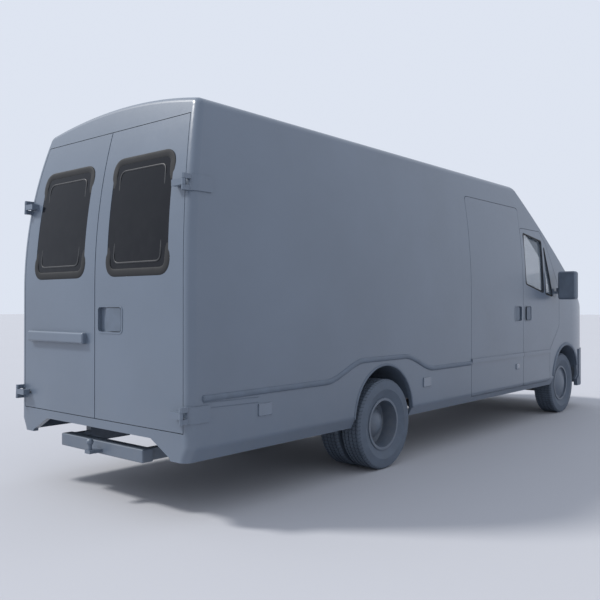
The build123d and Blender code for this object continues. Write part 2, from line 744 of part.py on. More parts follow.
def cab_door(side):
    """Cab door with window openings, the pocket its pane slides into, and the cup of its handle."""
    outline = across(cab_door_outline(0.0))
    door = skin(0.0, DOOR_THICKNESS) & outline & left_half()
    door += (moulding_band() + flare_band()) & outline & left_half()
    opening = make_face(Polyline(*window_corners(0.0), window_corners(0.0)[0]))
    quarter = make_face(Polyline(*quarter_corners(0.0), quarter_corners(0.0)[0]))
    door = door - across(fillet(opening.vertices(), 25)) - across(fillet(quarter.vertices(), 12))
    rear_low, front_low, front_high, rear_high = window_corners(WINDOW_CHANNEL + WINDOW_PLAY)
    floor_z = front_low[1] - WINDOW_TRAVEL
    channel = make_face(
        Polyline((rear_low[0], floor_z), (front_low[0], floor_z), front_high, rear_high,
                 (rear_low[0], floor_z))
    )
    door = door - (side_cylinder(WINDOW_DEPTH - WINDOW_PLAY, WINDOW_DEPTH + GLASS + WINDOW_PLAY)
                   & across(channel))
    door = on_side(door - quarter_window(), side)
    place = side_handle_place(1)
    if side > 0:
        place = Plane(origin=(place.origin.X, HALF_WIDTH, HANDLE_Z), x_dir=(1, 0, 0), z_dir=(0, 1, 0))
    return handle_cup(door, place, *SIDE_HANDLE_SIZE)


MIRROR_X = -400.0
MIRROR_PIN_Y = 45.0
MIRROR_PIN_RADIUS = 7.0


def mirror_base():
    """Left mirror arm that is fixed to the door: a foot, and a lug that holds the fold pin."""
    x = FRONT_AXLE_X + MIRROR_X
    y = HALF_WIDTH
    foot = block(x - 60, x + 60, y - 40, y + 14, 1470, 1560) - hull(0.0)
    lug = block(x - 18, x + 18, y - 40, y + MIRROR_PIN_Y, 1500, 1530) - hull(0.0)
    lug += rod((x, y + MIRROR_PIN_Y, 1500), (x, y + MIRROR_PIN_Y, 1530), 18)
    pin = rod((x, y + MIRROR_PIN_Y, 1500), (x, y + MIRROR_PIN_Y, 1570), MIRROR_PIN_RADIUS)
    return foot + lug + pin


def door_mirror():
    """Left mirror head: a tall rounded housing on an arm that folds about the pin."""
    x = FRONT_AXLE_X + MIRROR_X
    y = HALF_WIDTH + MIRROR_PIN_Y
    arm = rod((x, y, 1532), (x, y, 1568), 18) + block(x - 16, x + 16, y, y + 70, 1532, 1568)
    head = rounded_block(x - 70, x + 55, y + 22, y + 235, 1430, 1770, 32)
    head = head - rod((x, y, 1300), (x, y, 1531), 20.5)
    glass_recess = block(x - 80, x - 62, y + 40, y + 217, 1450, 1750)
    hole = rod((x, y, 1400), (x, y, 1571), MIRROR_PIN_RADIUS + RUNNING_CLEARANCE)
    return head + arm - glass_recess - hole


# ---- wheels ---------------------------------------------------------------------------------------
def spun(outline):
    """Solid of revolution about Y from an outline drawn as (radius, y)."""
    return revolve(outline, axis=Axis.Y)


def tyre(width):
    """Tyre with four round grooves; its middle plane is at y 0."""
    half = width / 2
    bead = half - 28
    belly = RIM_RADIUS + 0.5 * (TYRE_RADIUS - RIM_RADIUS)
    outer = [(RIM_RADIUS, bead), (RIM_RADIUS + 16, bead), (belly, half), (TYRE_RADIUS - 14, half - 5),
             (TYRE_RADIUS, half - 22)]
    inner = [(TYRE_RADIUS - 20, half - 34), (belly, half - 12), (RIM_RADIUS + 16, bead - 14),
             (RIM_RADIUS, bead - 14)]
    ring = outer + [(r, -y) for r, y in reversed(outer)]
    ring = ring + [(r, -y) for r, y in reversed(inner)] + inner
    face = make_face(Polyline(*ring, ring[0]))
    body = spun(face)
    for index in range(4):
        y = (index - 1.5) * width / 5.2
        groove = Pos(TYRE_RADIUS, y) * Rectangle(14, 8)
        body = body - spun(groove)
    return body


def rim(width, disc_y):
    """Steel rim with a dished disc at a distance from the middle plane, outwards positive."""
    half = width / 2 - 20
    barrel = [
        (RIM_RADIUS + 12, -half), (RIM_RADIUS + 12, 8 - half), (RIM_RADIUS, 8 - half),
        (RIM_RADIUS, half - 8), (RIM_RADIUS + 12, half - 8), (RIM_RADIUS + 12, half),
        (RIM_RADIUS - 9, half), (RIM_RADIUS - 9, -half),
    ]
    solid = spun(make_face(Polyline(*barrel, barrel[0])))
    bore = STUB_RADIUS + RUNNING_CLEARANCE
    low = disc_y - DISC_THICKNESS / 2
    high = disc_y + DISC_THICKNESS / 2
    root = max(-half + 14, min(half - 14, disc_y))
    disc = [
        (bore, low), (DISH_RADIUS, low), (RIM_RADIUS - 4, root - 7), (RIM_RADIUS - 4, root + 7),
        (DISH_RADIUS, high), (bore, high),
    ]
    return solid + spun(make_face(Polyline(*disc, disc[0])))


def wheel_cap(disc_y, radius, height):
    """Domed cap seated on the outside of a disc."""
    base = disc_y + DISC_THICKNESS / 2
    crown = (radius**2 + height**2) / (2 * height)
    centre = Pos(0, base + height - crown, 0)
    dome = centre * Sphere(crown) - centre * Sphere(crown - CAP_WALL)
    return dome & block(-REACH, REACH, base, REACH, -REACH, REACH)


DISC_THICKNESS = 18.0
CAP_WALL = 5.0
DISH_RADIUS = 160.0
FRONT_DISC_Y = 62.0


def at_wheel(solid, axle_x, middle_y, side):
    """A wheel part moved to its axle on one side."""
    return on_side(Pos(axle_x, middle_y, TYRE_RADIUS) * solid, side)


def front_tyre(side):
    """Front tyre on one side."""
    return at_wheel(tyre(TYRE_WIDTH), FRONT_AXLE_X, FRONT_TYRE_OUTER_Y - TYRE_WIDTH / 2, side)


def front_wheel(side):
    """Front rim and its cap on one side."""
    middle = FRONT_TYRE_OUTER_Y - TYRE_WIDTH / 2
    pieces = [rim(TYRE_WIDTH, FRONT_DISC_Y), wheel_cap(FRONT_DISC_Y, 165, 42)]
    return [at_wheel(piece, FRONT_AXLE_X, middle, side) for piece in pieces]


def twin_middles():
    """Middle planes of the outer and the inner rear tyre."""
    outer = REAR_TYRE_OUTER_Y - TWIN_TYRE_WIDTH / 2
    return outer, outer - TWIN_TYRE_WIDTH - TWIN_GAP


def rear_tyres(side):
    """Twin rear tyres on one side."""
    return [at_wheel(tyre(TWIN_TYRE_WIDTH), REAR_AXLE_X, middle, side) for middle in twin_middles()]


def rear_wheels(side):
    """Twin rear rims, disc against disc, and the cap of the outer one."""
    outer, inner = twin_middles()
    contact = (outer + inner) / 2
    outer_disc = contact + DISC_THICKNESS / 2 - outer
    pieces = [
        at_wheel(rim(TWIN_TYRE_WIDTH, outer_disc), REAR_AXLE_X, outer, side),
        at_wheel(rim(TWIN_TYRE_WIDTH, contact - DISC_THICKNESS / 2 - inner), REAR_AXLE_X, inner, side),
        at_wheel(wheel_cap(outer_disc, 150, 120), REAR_AXLE_X, outer, side),
    ]
    return pieces


# ---- running gear ---------------------------------------------------------------------------------
KINGPIN_Y = 772.0
KINGPIN_HALF = 95.0


def steering_knuckle(side):
    """Knuckle block on the kingpin with the stub axle that carries the wheel."""
    z = TYRE_RADIUS
    knuckle = block(-38, 38, KINGPIN_Y - 30, KINGPIN_Y + 34, z - KINGPIN_HALF + 2, z + KINGPIN_HALF - 2)
    knuckle += rod((0, KINGPIN_Y + 30, z), (0, FRONT_TYRE_OUTER_Y - TYRE_WIDTH / 2 + FRONT_DISC_Y + 9, z),
                   STUB_RADIUS)
    hole = rod((0, KINGPIN_Y, 0), (0, KINGPIN_Y, 2 * z), KINGPIN_RADIUS + RUNNING_CLEARANCE)
    return on_side(Pos(FRONT_AXLE_X, 0, 0) * (knuckle - hole), side)


def front_subframe():
    """Front cross beam, its four arms, the kingpins and the spring towers up to the frame rails."""
    z = TYRE_RADIUS
    beam = block(-95, 95, -RAIL_Y - 30, RAIL_Y + 30, z - 60, z + 12)
    for side in (1, -1):
        for level in (1, -1):
            low = z + level * (KINGPIN_HALF + 15) - 15
            arm = block(-26, 26, RAIL_Y - 10, KINGPIN_Y + 24, low, low + 30)
            beam += on_side(arm, side)
        beam += on_side(block(-26, 26, RAIL_Y - 10, RAIL_Y + 30, z - KINGPIN_HALF - 30, RAIL_BOTTOM_Z), side)
        beam += on_side(rod((0, KINGPIN_Y, z - KINGPIN_HALF - 20), (0, KINGPIN_Y, z + KINGPIN_HALF + 20),
                            KINGPIN_RADIUS), side)
    return Pos(FRONT_AXLE_X, 0, 0) * beam


def rear_axle():
    """Rear axle tube with the differential housing, stub ends and two leaf spring packs."""
    z = TYRE_RADIUS
    contact = sum(twin_middles()) / 2
    tube = rod((0, -560, z), (0, 560, z), 52)
    tube += Sphere(135).moved(Location((0, 0, z)))
    tube += rod((0, -contact - 22, z), (0, contact + 22, z), STUB_RADIUS)
    nose = rod((60, 0, z), (190, 0, z), 60)
    axle = Pos(REAR_AXLE_X, 0, 0) * (tube + nose)
    springs = [axle]
    for side in (1, -1):
        arc = ThreePointArc((-640, RAIL_BOTTOM_Z - 20), (0, z + 58), (640, RAIL_BOTTOM_Z - 20))
        leaf = extrude(Plane.XZ * trace(arc, 26), amount=35, both=True)
        leaf = leaf + block(-655, -600, -35, 35, RAIL_BOTTOM_Z - 40, RAIL_BOTTOM_Z)
        leaf = leaf + block(600, 655, -35, 35, RAIL_BOTTOM_Z - 40, RAIL_BOTTOM_Z)
        leaf = (leaf & block(-REACH, REACH, -REACH, REACH, 0, RAIL_BOTTOM_Z)) + block(-50, 50, -35, 35, z + 30, z + 60)
        leaf = Pos(REAR_AXLE_X, side * RAIL_Y, 0) * leaf
        springs.append(leaf - axle)
    return springs


def propshaft():
    """Propeller shaft between the gearbox and the axle, with a flange at each end."""
    start = Vector(REAR_AXLE_X + 190.5, 0, TYRE_RADIUS)
    end = Vector(FRONT_AXLE_X - 700.5, 0, GEARBOX_Z)
    line = (end - start).normalized()
    shaft = rod(tuple(start + line * 12), tuple(end - line * 12), 38)
    shaft += rod(tuple(start + line * 2.2), tuple(start + line * 15), 56)
    return shaft + rod(tuple(end - line * 15), tuple(end - line * 2.2), 56)


GEARBOX_Z = 480.0


def power_unit():
    """Engine block with sump and cover, gearbox, and the radiator ahead of them."""
    x = FRONT_AXLE_X
    engine = block(x + 20, x + 500, -230, 230, 520, 960)
    engine = fillet(engine.edges().filter_by(Axis.X), 25)
    engine += block(x + 110, x + 480, -180, 180, 440, 525)
    engine += rounded_block(x + 40, x + 480, -200, 200, 950, 1010, 14)
    gearbox = rod((x - 690, 0, GEARBOX_Z), (x + 105, 0, GEARBOX_Z), 90) + rod((x - 160, 0, 540), (x + 25, 0, 540), 105)
    radiator = block(x + 620, x + 660, -360, 360, RAIL_TOP_Z, 1040)
    foot = block(x + 200, x + 280, 200, RAIL_Y - RAIL_WIDTH / 2, 540, 600)
    return [engine + gearbox + foot + mirrored(foot), radiator]


def chassis_frame():
    """Two long rails, cross members, jacking pads and the towing-eye socket."""
    start = REAR_X + 70
    end = FRONT_AXLE_X + 700
    frame = block(start, end, RAIL_Y - RAIL_WIDTH / 2, RAIL_Y + RAIL_WIDTH / 2, RAIL_BOTTOM_Z, RAIL_TOP_Z)
    frame += mirrored(frame)
    stations = [start + 60, REAR_AXLE_X - 700, REAR_AXLE_X + 700, (REAR_AXLE_X + FRONT_AXLE_X) / 2,
                FRONT_AXLE_X - 900, FRONT_AXLE_X + 640]
    for x in stations:
        frame += block(x - 35, x + 35, -RAIL_Y, RAIL_Y, RAIL_TOP_Z - 60, RAIL_TOP_Z)
    for x in (REAR_AXLE_X + 760, FRONT_AXLE_X - 760):
        for side in (1, -1):
            frame += on_side(block(x - 45, x + 45, RAIL_Y, HALF_WIDTH - 140, RAIL_TOP_Z - 60, RAIL_TOP_Z), side)
            frame += on_side(block(x - 45, x + 45, HALF_WIDTH - 230, HALF_WIDTH - 140, 420, RAIL_TOP_Z), side)
    socket = block(end - 90, end, -RAIL_Y - 160, -RAIL_Y, TOW_EYE_Z - 30, TOW_EYE_Z + 30)
    socket = socket - rod((end - TOW_EYE_LENGTH, TOW_EYE_Y, TOW_EYE_Z), (end + 10, TOW_EYE_Y, TOW_EYE_Z),
                          TOW_EYE_RADIUS)
    return frame + socket


TOW_BEAM_Z = 365.0
BALL_RADIUS = 25.0


def tow_frame():
    """Underrun and towing frame: cross beam, two arms up to the rails, and the ball on its neck."""
    x = REAR_X + 40
    beam = rounded_block(x, x + 90, -490, 490, TOW_BEAM_Z - 45, TOW_BEAM_Z + 45, 8)
    for side in (1, -1):
        y = side * RAIL_Y
        beam += block(x + 60, x + 560, y - 30, y + 30, TOW_BEAM_Z - 40, TOW_BEAM_Z + 40)
        beam += block(x + 200, x + 540, y - 30, y + 30, TOW_BEAM_Z, RAIL_BOTTOM_Z)
    beam += block(x - 60, x + 4, -35, 35, TOW_BEAM_Z - 30, TOW_BEAM_Z - 6)
    ball_x = REAR_X - BALL_STANDOFF + BALL_RADIUS
    neck_top = TOW_BEAM_Z + 30
    beam += block(ball_x - 22, x - 20, -30, 30, TOW_BEAM_Z - 30, TOW_BEAM_Z - 6)
    ball = rod((ball_x, 0, TOW_BEAM_Z - 6), (ball_x, 0, neck_top), 14)
    ball += Sphere(BALL_RADIUS).moved(Location((ball_x, 0, neck_top + 18)))
    return [beam, ball]


def floor():
    """Load floor and cab floor with cut-outs for the wheel boxes."""
    plate = block(REAR_X + 150, FRONT_AXLE_X - 110, -REACH, REACH, FLOOR_Z - FLOOR_THICKNESS, FLOOR_Z)
    plate = plate & hull(DOOR_THICKNESS + 1)
    plate += block(REAR_X + 400, FRONT_AXLE_X - 500, -RAIL_Y, RAIL_Y, RAIL_TOP_Z, FLOOR_Z - FLOOR_THICKNESS)
    for axle_x, inner_y in ((REAR_AXLE_X, LINER_INNER_Y), (FRONT_AXLE_X, FRONT_LINER_INNER_Y)):
        reach = ARCH_RADIUS + 12
        box = block(axle_x - reach, axle_x + reach, inner_y, REACH, 0, REACH)
        plate = plate - box - mirrored(box)
    return plate


def wheel_box(axle_x, inner_y):
    """Left wheel-arch liner: half drum with a closed inner end."""
    drum = Pos(axle_x, (inner_y + HALF_WIDTH) / 2, ARCH_Z) * Rot(90, 0, 0)
    outer = drum * Cylinder(ARCH_RADIUS + 6 + LINER_WALL, HALF_WIDTH - inner_y)
    hollow = Pos(0, LINER_WALL, 0) * drum * Cylinder(ARCH_RADIUS + 6, HALF_WIDTH - inner_y)
    upper = block(-REACH, REACH, inner_y, REACH, LINER_BOTTOM_Z, REACH)
    return ((outer - hollow) & upper) - skin(-CORNER_RADIUS, WALL)


def wheel_arch_liners():
    """Four wheel-arch liners."""
    left = [wheel_box(REAR_AXLE_X, LINER_INNER_Y), wheel_box(FRONT_AXLE_X, FRONT_LINER_INNER_Y)]
    return left + [mirrored(liner) for liner in left]


def bulkhead():
    """Partition behind the seats with the door pillars on both sides."""
    wall = block(PILLAR_X - 110, PILLAR_X - 90, -REACH, REACH, FLOOR_Z, ROOF_SPLIT_Z) & hull(DOOR_THICKNESS + 5)
    posts = skin(DOOR_THICKNESS + SEAT_GAP, 95.0) & block(
        PILLAR_X - 90, PILLAR_X + 50, -REACH, REACH, FLOOR_Z, ROOF_SPLIT_Z
    )
    posts = posts & (block(-REACH, REACH, 700, REACH, 0, REACH) + block(-REACH, REACH, -REACH, -700, 0, REACH))
    return wall + posts


def fuel_tank():
    """Fuel tank hung beside the left rail."""
    x = REAR_AXLE_X + 1100
    return rounded_block(x, x + 900, RAIL_Y + RAIL_WIDTH / 2, HALF_WIDTH - 110, 425, 650, 30)


def exhaust():
    """Exhaust pipe with its silencer, under the right rail."""
    y = -RAIL_Y + 140
    pipe = rod((REAR_AXLE_X + 842, y, 430), (FRONT_AXLE_X - 200, y, 430), 28)
    pipe += rod((REAR_AXLE_X + 900, y, 430), (REAR_AXLE_X + 1500, y, 430), 80)
    pipe += rod((REAR_AXLE_X + 870, y, 430), (REAR_AXLE_X + 870, -HALF_WIDTH + 130, 430), 28)
    hanger = block(REAR_AXLE_X + 1180, REAR_AXLE_X + 1220, y - 20, y + 20, 500, RAIL_TOP_Z + 0.0)
    hanger += block(FRONT_AXLE_X - 925, FRONT_AXLE_X - 890, y - 15, y + 15, 450, RAIL_TOP_Z - 60)
    return pipe + hanger


def marker_lamps():
    """Three small marker lamps on each skirt, seated on the cladding or the body skin."""
    lamps = []
    for x, z in ((REAR_AXLE_X - 1466, 660), (REAR_AXLE_X + 671, 669)):
        lamps.append(rounded_block(x - 65, x + 65, HALF_WIDTH, HALF_WIDTH + 9, z - 42, z + 42, 4))
    return lamps + [mirrored(lamp) for lamp in lamps]


# ---- cab interior ---------------------------------------------------------------------------------
DRIVER_Y = 420.0
COLUMN_TILT = 28.0
STEERING_X = -440.0
STEERING_Z = 1290.0
LEVER_PIN_RADIUS = 5.0
PEDAL_PIN_Z = 1010.0


def steering_axis():
    """Direction of the steering column, from the dashboard up to the driver."""
    angle = math.radians(COLUMN_TILT)
    return Vector(-math.cos(angle), 0, math.sin(angle))


def steering_centre():
    """Centre of the steering wheel's rim."""
    return Vector(FRONT_AXLE_X + STEERING_X, DRIVER_Y, STEERING_Z)


def steering_wheel():
    """Three-spoke wheel with its hub and the shaft that turns in the column."""
    plane = Plane(origin=tuple(steering_centre()), x_dir=(0, 1, 0), z_dir=tuple(steering_axis()))
    wheel = Torus(195, 15)
    wheel += Pos(0, 0, -25) * Cylinder(50, 40)
    for turn in (0, 90, 180):
        wheel += Rot(0, 0, turn) * (Pos(100, 0, -12) * Box(190, 34, 14))
    wheel += Pos(0, 0, -120) * Cylinder(14, 170)
    return plane * wheel


def dashboard():
    """Dashboard, firewall, steering column tube, pedal bracket and gear console in one node."""
    x = FRONT_AXLE_X
    width = HALF_WIDTH - 105
    firewall = block(x - 100, x - 85, -490, 490, FLOOR_Z - FLOOR_THICKNESS, 1380)
    outline = make_face(
        Polyline((x - 330, 1120), (x - 90, 1010), (x + 300, 1380), (x - 90, 1400), (x - 310, 1330), (x - 330, 1120))
    )
    dash = extrude(Plane.XZ * outline, amount=width, both=True)
    dash = dash + firewall
    axis = steering_axis()
    centre = steering_centre()
    column = rod(tuple(centre - axis * 60), tuple(centre - axis * 330), 32)
    bracket = block(x - 175, x - 90, DRIVER_Y - 140, DRIVER_Y - 125, PEDAL_PIN_Z - 20, 1130)
    bracket += block(x - 175, x - 90, DRIVER_Y + 95, DRIVER_Y + 110, PEDAL_PIN_Z - 20, 1130)
    pins = rod((x - 155, DRIVER_Y - 140, PEDAL_PIN_Z), (x - 155, DRIVER_Y + 110, PEDAL_PIN_Z), LEVER_PIN_RADIUS)
    console = block(x - 480, x - 100, -80, 80, FLOOR_Z, 1010) - block(x - 460, x - 340, -16, 16, 900, 1020)
    gear_pin = rod((x - 400, -30, 950), (x - 400, 30, 950), LEVER_PIN_RADIUS)
    solid = dash + column + bracket + console
    solid = solid - rod(tuple(centre), tuple(centre - axis * 215), 14 + RUNNING_CLEARANCE)
    return solid + pins + gear_pin


def gear_lever():
    """Gear selector lever with its knob, on the console's pin."""
    x = FRONT_AXLE_X - 400
    lever = rod((x, 0, 950), (x - 20, 0, 1120), 7) + Sphere(24).moved(Location((x - 22, 0, 1130)))
    lever += rod((x, -14, 950), (x, 14, 950), 13)
    return lever - rod((x, -40, 950), (x, 40, 950), LEVER_PIN_RADIUS + RUNNING_CLEARANCE)


def pedal(offset_y, width, height):
    """Hanging pedal: a barrel on the bracket's pin, an arm and a pad."""
    x = FRONT_AXLE_X - 155
    y = DRIVER_Y + offset_y
    arm = rod((x, y - 15, PEDAL_PIN_Z), (x, y + 15, PEDAL_PIN_Z), 12)
    arm += block(x - 50, x - 38, y - 6, y + 6, PEDAL_PIN_Z - 205, PEDAL_PIN_Z - 5) + block(x - 50, x, y - 6, y + 6, PEDAL_PIN_Z - 12, PEDAL_PIN_Z + 4)
    arm += rounded_block(x - 66, x - 50, y - width / 2, y + width / 2, PEDAL_PIN_Z - 205 - height / 2,
                         PEDAL_PIN_Z - 205 + height / 2, 5) + block(x - 52, x - 38, y - 6, y + 6, PEDAL_PIN_Z - 225, PEDAL_PIN_Z - 200)
    return arm - rod((x, y - 20, PEDAL_PIN_Z), (x, y + 20, PEDAL_PIN_Z), LEVER_PIN_RADIUS + RUNNING_CLEARANCE)


SEAT_X = -1090.0
SEAT_DEPTH = 560.0
SEAT_BASE_Z = 940.0
CUSHION_HEIGHT = 120.0


def seat_spans():
    """Sideways spans of the driver's seat and the passenger bench."""
    return (DRIVER_Y - 245, DRIVER_Y + 245), (-850.0, -100.0)


def seat_frames():
    """Seat boxes and the carriers behind the backrests."""
    frames = []
    x = FRONT_AXLE_X + SEAT_X
    for low, high in seat_spans():
        frame = block(x + 30, x + SEAT_DEPTH, low + 20, high - 20, FLOOR_Z, SEAT_BASE_Z)
        frame = frame - block(x + 60, x + SEAT_DEPTH + 10, low + 50, high - 50, FLOOR_Z + 20, SEAT_BASE_Z - 30)
        frame += block(x - 20, x + 30, low + 60, high - 60, FLOOR_Z, SEAT_BASE_Z + 650)
        frames.append(frame)
    return frames


def seat_cushions():
    """Seat cushions, backrests and headrests."""
    x = FRONT_AXLE_X + SEAT_X
    pieces = []
    for low, high in seat_spans():
        top = SEAT_BASE_Z + CUSHION_HEIGHT
        pieces.append(rounded_block(x + 140, x + SEAT_DEPTH + 20, low, high, SEAT_BASE_Z, top, 40))
        pieces.append(rounded_block(x + 30, x + 138, low, high, SEAT_BASE_Z, SEAT_BASE_Z + 640, 40))
        places = max(1, round((high - low) / 450))
        pitch = (high - low) / places
        for place in range(places):
            middle = low + pitch * (place + 0.5)
            pieces.append(rounded_block(x + 35, x + 125, middle - 130, middle + 130, SEAT_BASE_Z + 650,
                                        SEAT_BASE_Z + 830, 30))
            pieces.append(rod((x + 80, middle - 50, SEAT_BASE_Z + 640), (x + 80, middle - 50, SEAT_BASE_Z + 650), 7))
            pieces.append(rod((x + 80, middle + 50, SEAT_BASE_Z + 640), (x + 80, middle + 50, SEAT_BASE_Z + 650), 7))
    return pieces


def parking_brake():
    """Parking-brake lever between the seats, turning on a pin in its floor bracket."""
    x = FRONT_AXLE_X - 900
    y = 60.0
    lever = rod((x, y, 800), (x + 330, y, 860), 9) + rod((x + 200, y, 836), (x + 340, y, 862), 15)
    lever += rod((x, y - 12, 800), (x, y + 12, 800), 14)
    bracket = block(x - 40, x + 60, y - 28, y - 14, FLOOR_Z, 830) + block(x - 40, x + 60, y + 14, y + 28, FLOOR_Z, 830)
    bracket += block(x - 40, x + 60, y - 28, y + 28, FLOOR_Z, FLOOR_Z + 20)
    bracket += rod((x, y - 28, 800), (x, y + 28, 800), LEVER_PIN_RADIUS)
    return lever - rod((x, y - 13, 800), (x, y + 13, 800), LEVER_PIN_RADIUS + RUNNING_CLEARANCE), bracket


# ---- every node -----------------------------------------------------------------------------------
def build_nodes():
    """All the named pieces of the vehicle."""
    left_brackets = []
    for z in HINGE_HEIGHTS:
        left_brackets.extend(hinge_bracket(z))
    left_straps = [hinge_strap(z) for z in HINGE_HEIGHTS]
    left_door = rear_door()
    right_door = handle_cup(mirrored(left_door), rear_handle_place(), *REAR_HANDLE_SIZE)
    left_mirror = door_mirror()
    left_base = mirror_base()
    left_cab_door = cab_door(1) + left_base
    right_cab_door = cab_door(-1) + mirrored(left_base)
    left_handle_place = Plane(
        origin=(side_handle_place(1).origin.X, HALF_WIDTH, HANDLE_Z), x_dir=(1, 0, 0), z_dir=(0, 1, 0)
    )
    brake_lever, brake_bracket = parking_brake()
    nodes = {
        "chassis_frame": chassis_frame(),
        "tow_frame": joined(tow_frame()),
        "floor": floor(),
        "body_side_left": body_side(1),
        "body_side_right": body_side(-1),
        "roof_panel": roof_panel(),
        "rear_portal": rear_portal(),
        "cab_shell": cab_shell(),
        "bulkhead": bulkhead(),
        "windscreen": windscreen(),
        "front_bumper": front_bumper(),
        "grille": grille(),
        "lamps": joined([headlamp(), mirrored(headlamp())] + marker_lamps()),
        "side_cladding": joined([cladding(1), cladding(-1)]),
        "side_mouldings": joined(side_moulding(1) + side_moulding(-1)),
        "wheel_arch_liners": joined(wheel_arch_liners()),
        "power_unit": joined(power_unit()),
        "rear_axle": joined(rear_axle()),
        "front_subframe": front_subframe(),
        "fuel_tank": fuel_tank(),
        "exhaust": exhaust(),
        "dashboard": dashboard(),
        "seat_frames": joined(seat_frames() + [brake_bracket]),
        "seat_cushions": joined(seat_cushions()),
        "rear_hinge_brackets": joined(left_brackets + [mirrored(piece) for piece in left_brackets]),
        "propshaft": propshaft(),
        "steering_wheel": steering_wheel(),
        "gear_lever": gear_lever(),
        "parking_brake_lever": brake_lever,
        "brake_pedal": pedal(-30, 90, 60),
        "accelerator_pedal": pedal(-108, 50, 100),
        "bonnet": bonnet(),
        "rear_door_left": joined([left_door] + left_straps),
        "rear_door_right": joined([right_door] + [mirrored(strap) for strap in left_straps]),
        "rear_window_left": rear_window(),
        "rear_window_right": mirrored(rear_window()),
        "rear_handle": handle_paddle(rear_handle_place(), *REAR_HANDLE_SIZE),
        "plate_lamp_bar": plate_lamp_bar(),
        "side_door": side_door(),
        "side_door_handle": handle_paddle(side_handle_place(-1), *SIDE_HANDLE_SIZE),
        "cab_door_left": left_cab_door,
        "cab_door_right": right_cab_door,
        "cab_handle_left": handle_paddle(left_handle_place, *SIDE_HANDLE_SIZE),
        "cab_handle_right": handle_paddle(side_handle_place(1), *SIDE_HANDLE_SIZE),
        "cab_window_left": cab_window(),
        "cab_window_right": mirrored(cab_window()),
        "quarter_window_left": quarter_window(),
        "quarter_window_right": mirrored(quarter_window()),
        "mirror_left": left_mirror,
        "mirror_right": mirrored(left_mirror),
    }
    for name, side in (("left", 1), ("right", -1)):
        nodes[f"knuckle_{name}"] = steering_knuckle(side)
        nodes[f"front_tyre_{name}"] = front_tyre(side)
        nodes[f"front_wheel_{name}"] = joined(front_wheel(side))
        nodes[f"rear_tyres_{name}"] = joined(rear_tyres(side))
        nodes[f"rear_wheels_{name}"] = joined(rear_wheels(side))
    return nodes


os.makedirs("parts", exist_ok=True)
for node, shape in build_nodes().items():
    export_step(shape, f"parts/{node}.step")
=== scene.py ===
"""Looks of the high-roof delivery van: finishes for every CAD node, seals, seats, wipers and trim."""
import json
import logging
import math
from dataclasses import dataclass
from enum import Enum
from typing import Any, Sequence

import bmesh
import bpy
import numpy as np
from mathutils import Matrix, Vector


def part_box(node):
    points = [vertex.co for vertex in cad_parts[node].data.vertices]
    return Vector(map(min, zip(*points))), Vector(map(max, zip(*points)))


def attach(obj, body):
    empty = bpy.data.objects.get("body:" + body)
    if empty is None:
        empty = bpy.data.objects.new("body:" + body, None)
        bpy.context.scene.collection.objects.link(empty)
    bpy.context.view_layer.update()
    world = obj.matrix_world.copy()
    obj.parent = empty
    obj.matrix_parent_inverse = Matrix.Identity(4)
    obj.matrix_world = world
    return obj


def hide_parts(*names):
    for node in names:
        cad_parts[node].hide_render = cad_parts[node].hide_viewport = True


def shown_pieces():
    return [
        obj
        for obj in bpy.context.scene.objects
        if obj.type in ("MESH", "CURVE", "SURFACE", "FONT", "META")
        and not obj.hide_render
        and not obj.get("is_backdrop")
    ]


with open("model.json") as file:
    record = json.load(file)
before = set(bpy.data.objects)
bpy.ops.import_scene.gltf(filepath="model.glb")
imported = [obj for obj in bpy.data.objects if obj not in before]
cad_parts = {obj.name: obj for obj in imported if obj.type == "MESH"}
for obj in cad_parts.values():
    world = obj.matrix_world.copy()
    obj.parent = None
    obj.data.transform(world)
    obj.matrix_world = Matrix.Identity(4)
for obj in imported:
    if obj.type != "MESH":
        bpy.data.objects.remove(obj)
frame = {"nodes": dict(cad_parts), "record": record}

Array = np.ndarray
Part = tuple[Array, Array]
Colour = tuple[float, float, float]
LOG = logging.getLogger("van")
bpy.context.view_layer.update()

# Sizes that the CAD was built to, in metres.
FRONT_AXLE, REAR_AXLE = 2.630, -1.470
PILLAR, TAIL = 1.319, -3.600
AXLE_Z, ARCH_Z = 0.373, 0.433
HALF_WIDTH, WAIST_Z, SIDE_RADIUS = 1.01, 1.45, 6.4
TAIL_BREAK_Z, TAIL_RADIUS = 1.5, 4.1
WING_START, WING_RADIUS = FRONT_AXLE + 0.2, 1.708
SCREEN_TOP, SCREEN_FOOT = (FRONT_AXLE - 1.48, 2.805), (FRONT_AXLE + 0.5, 1.44)

# Paint and dirt colours, linear.
BODY = (0.118, 0.150, 0.198)
ROAD_DUST, PANE_DUST = (0.21, 0.215, 0.225), (0.30, 0.31, 0.32)

# Cloth pressure run of the seat pads.
VOXEL, PRESSURE, CLOTH_QUALITY, LAST_FRAME = 0.006, 4.0, 4, 20


class Side(Enum):
    """Side of the vehicle, with the sign of its Y."""

    LEFT = 1
    RIGHT = -1

    @property
    def word(self) -> str:
        """Name of the side as it ends a node's name."""
        return self.name.lower()


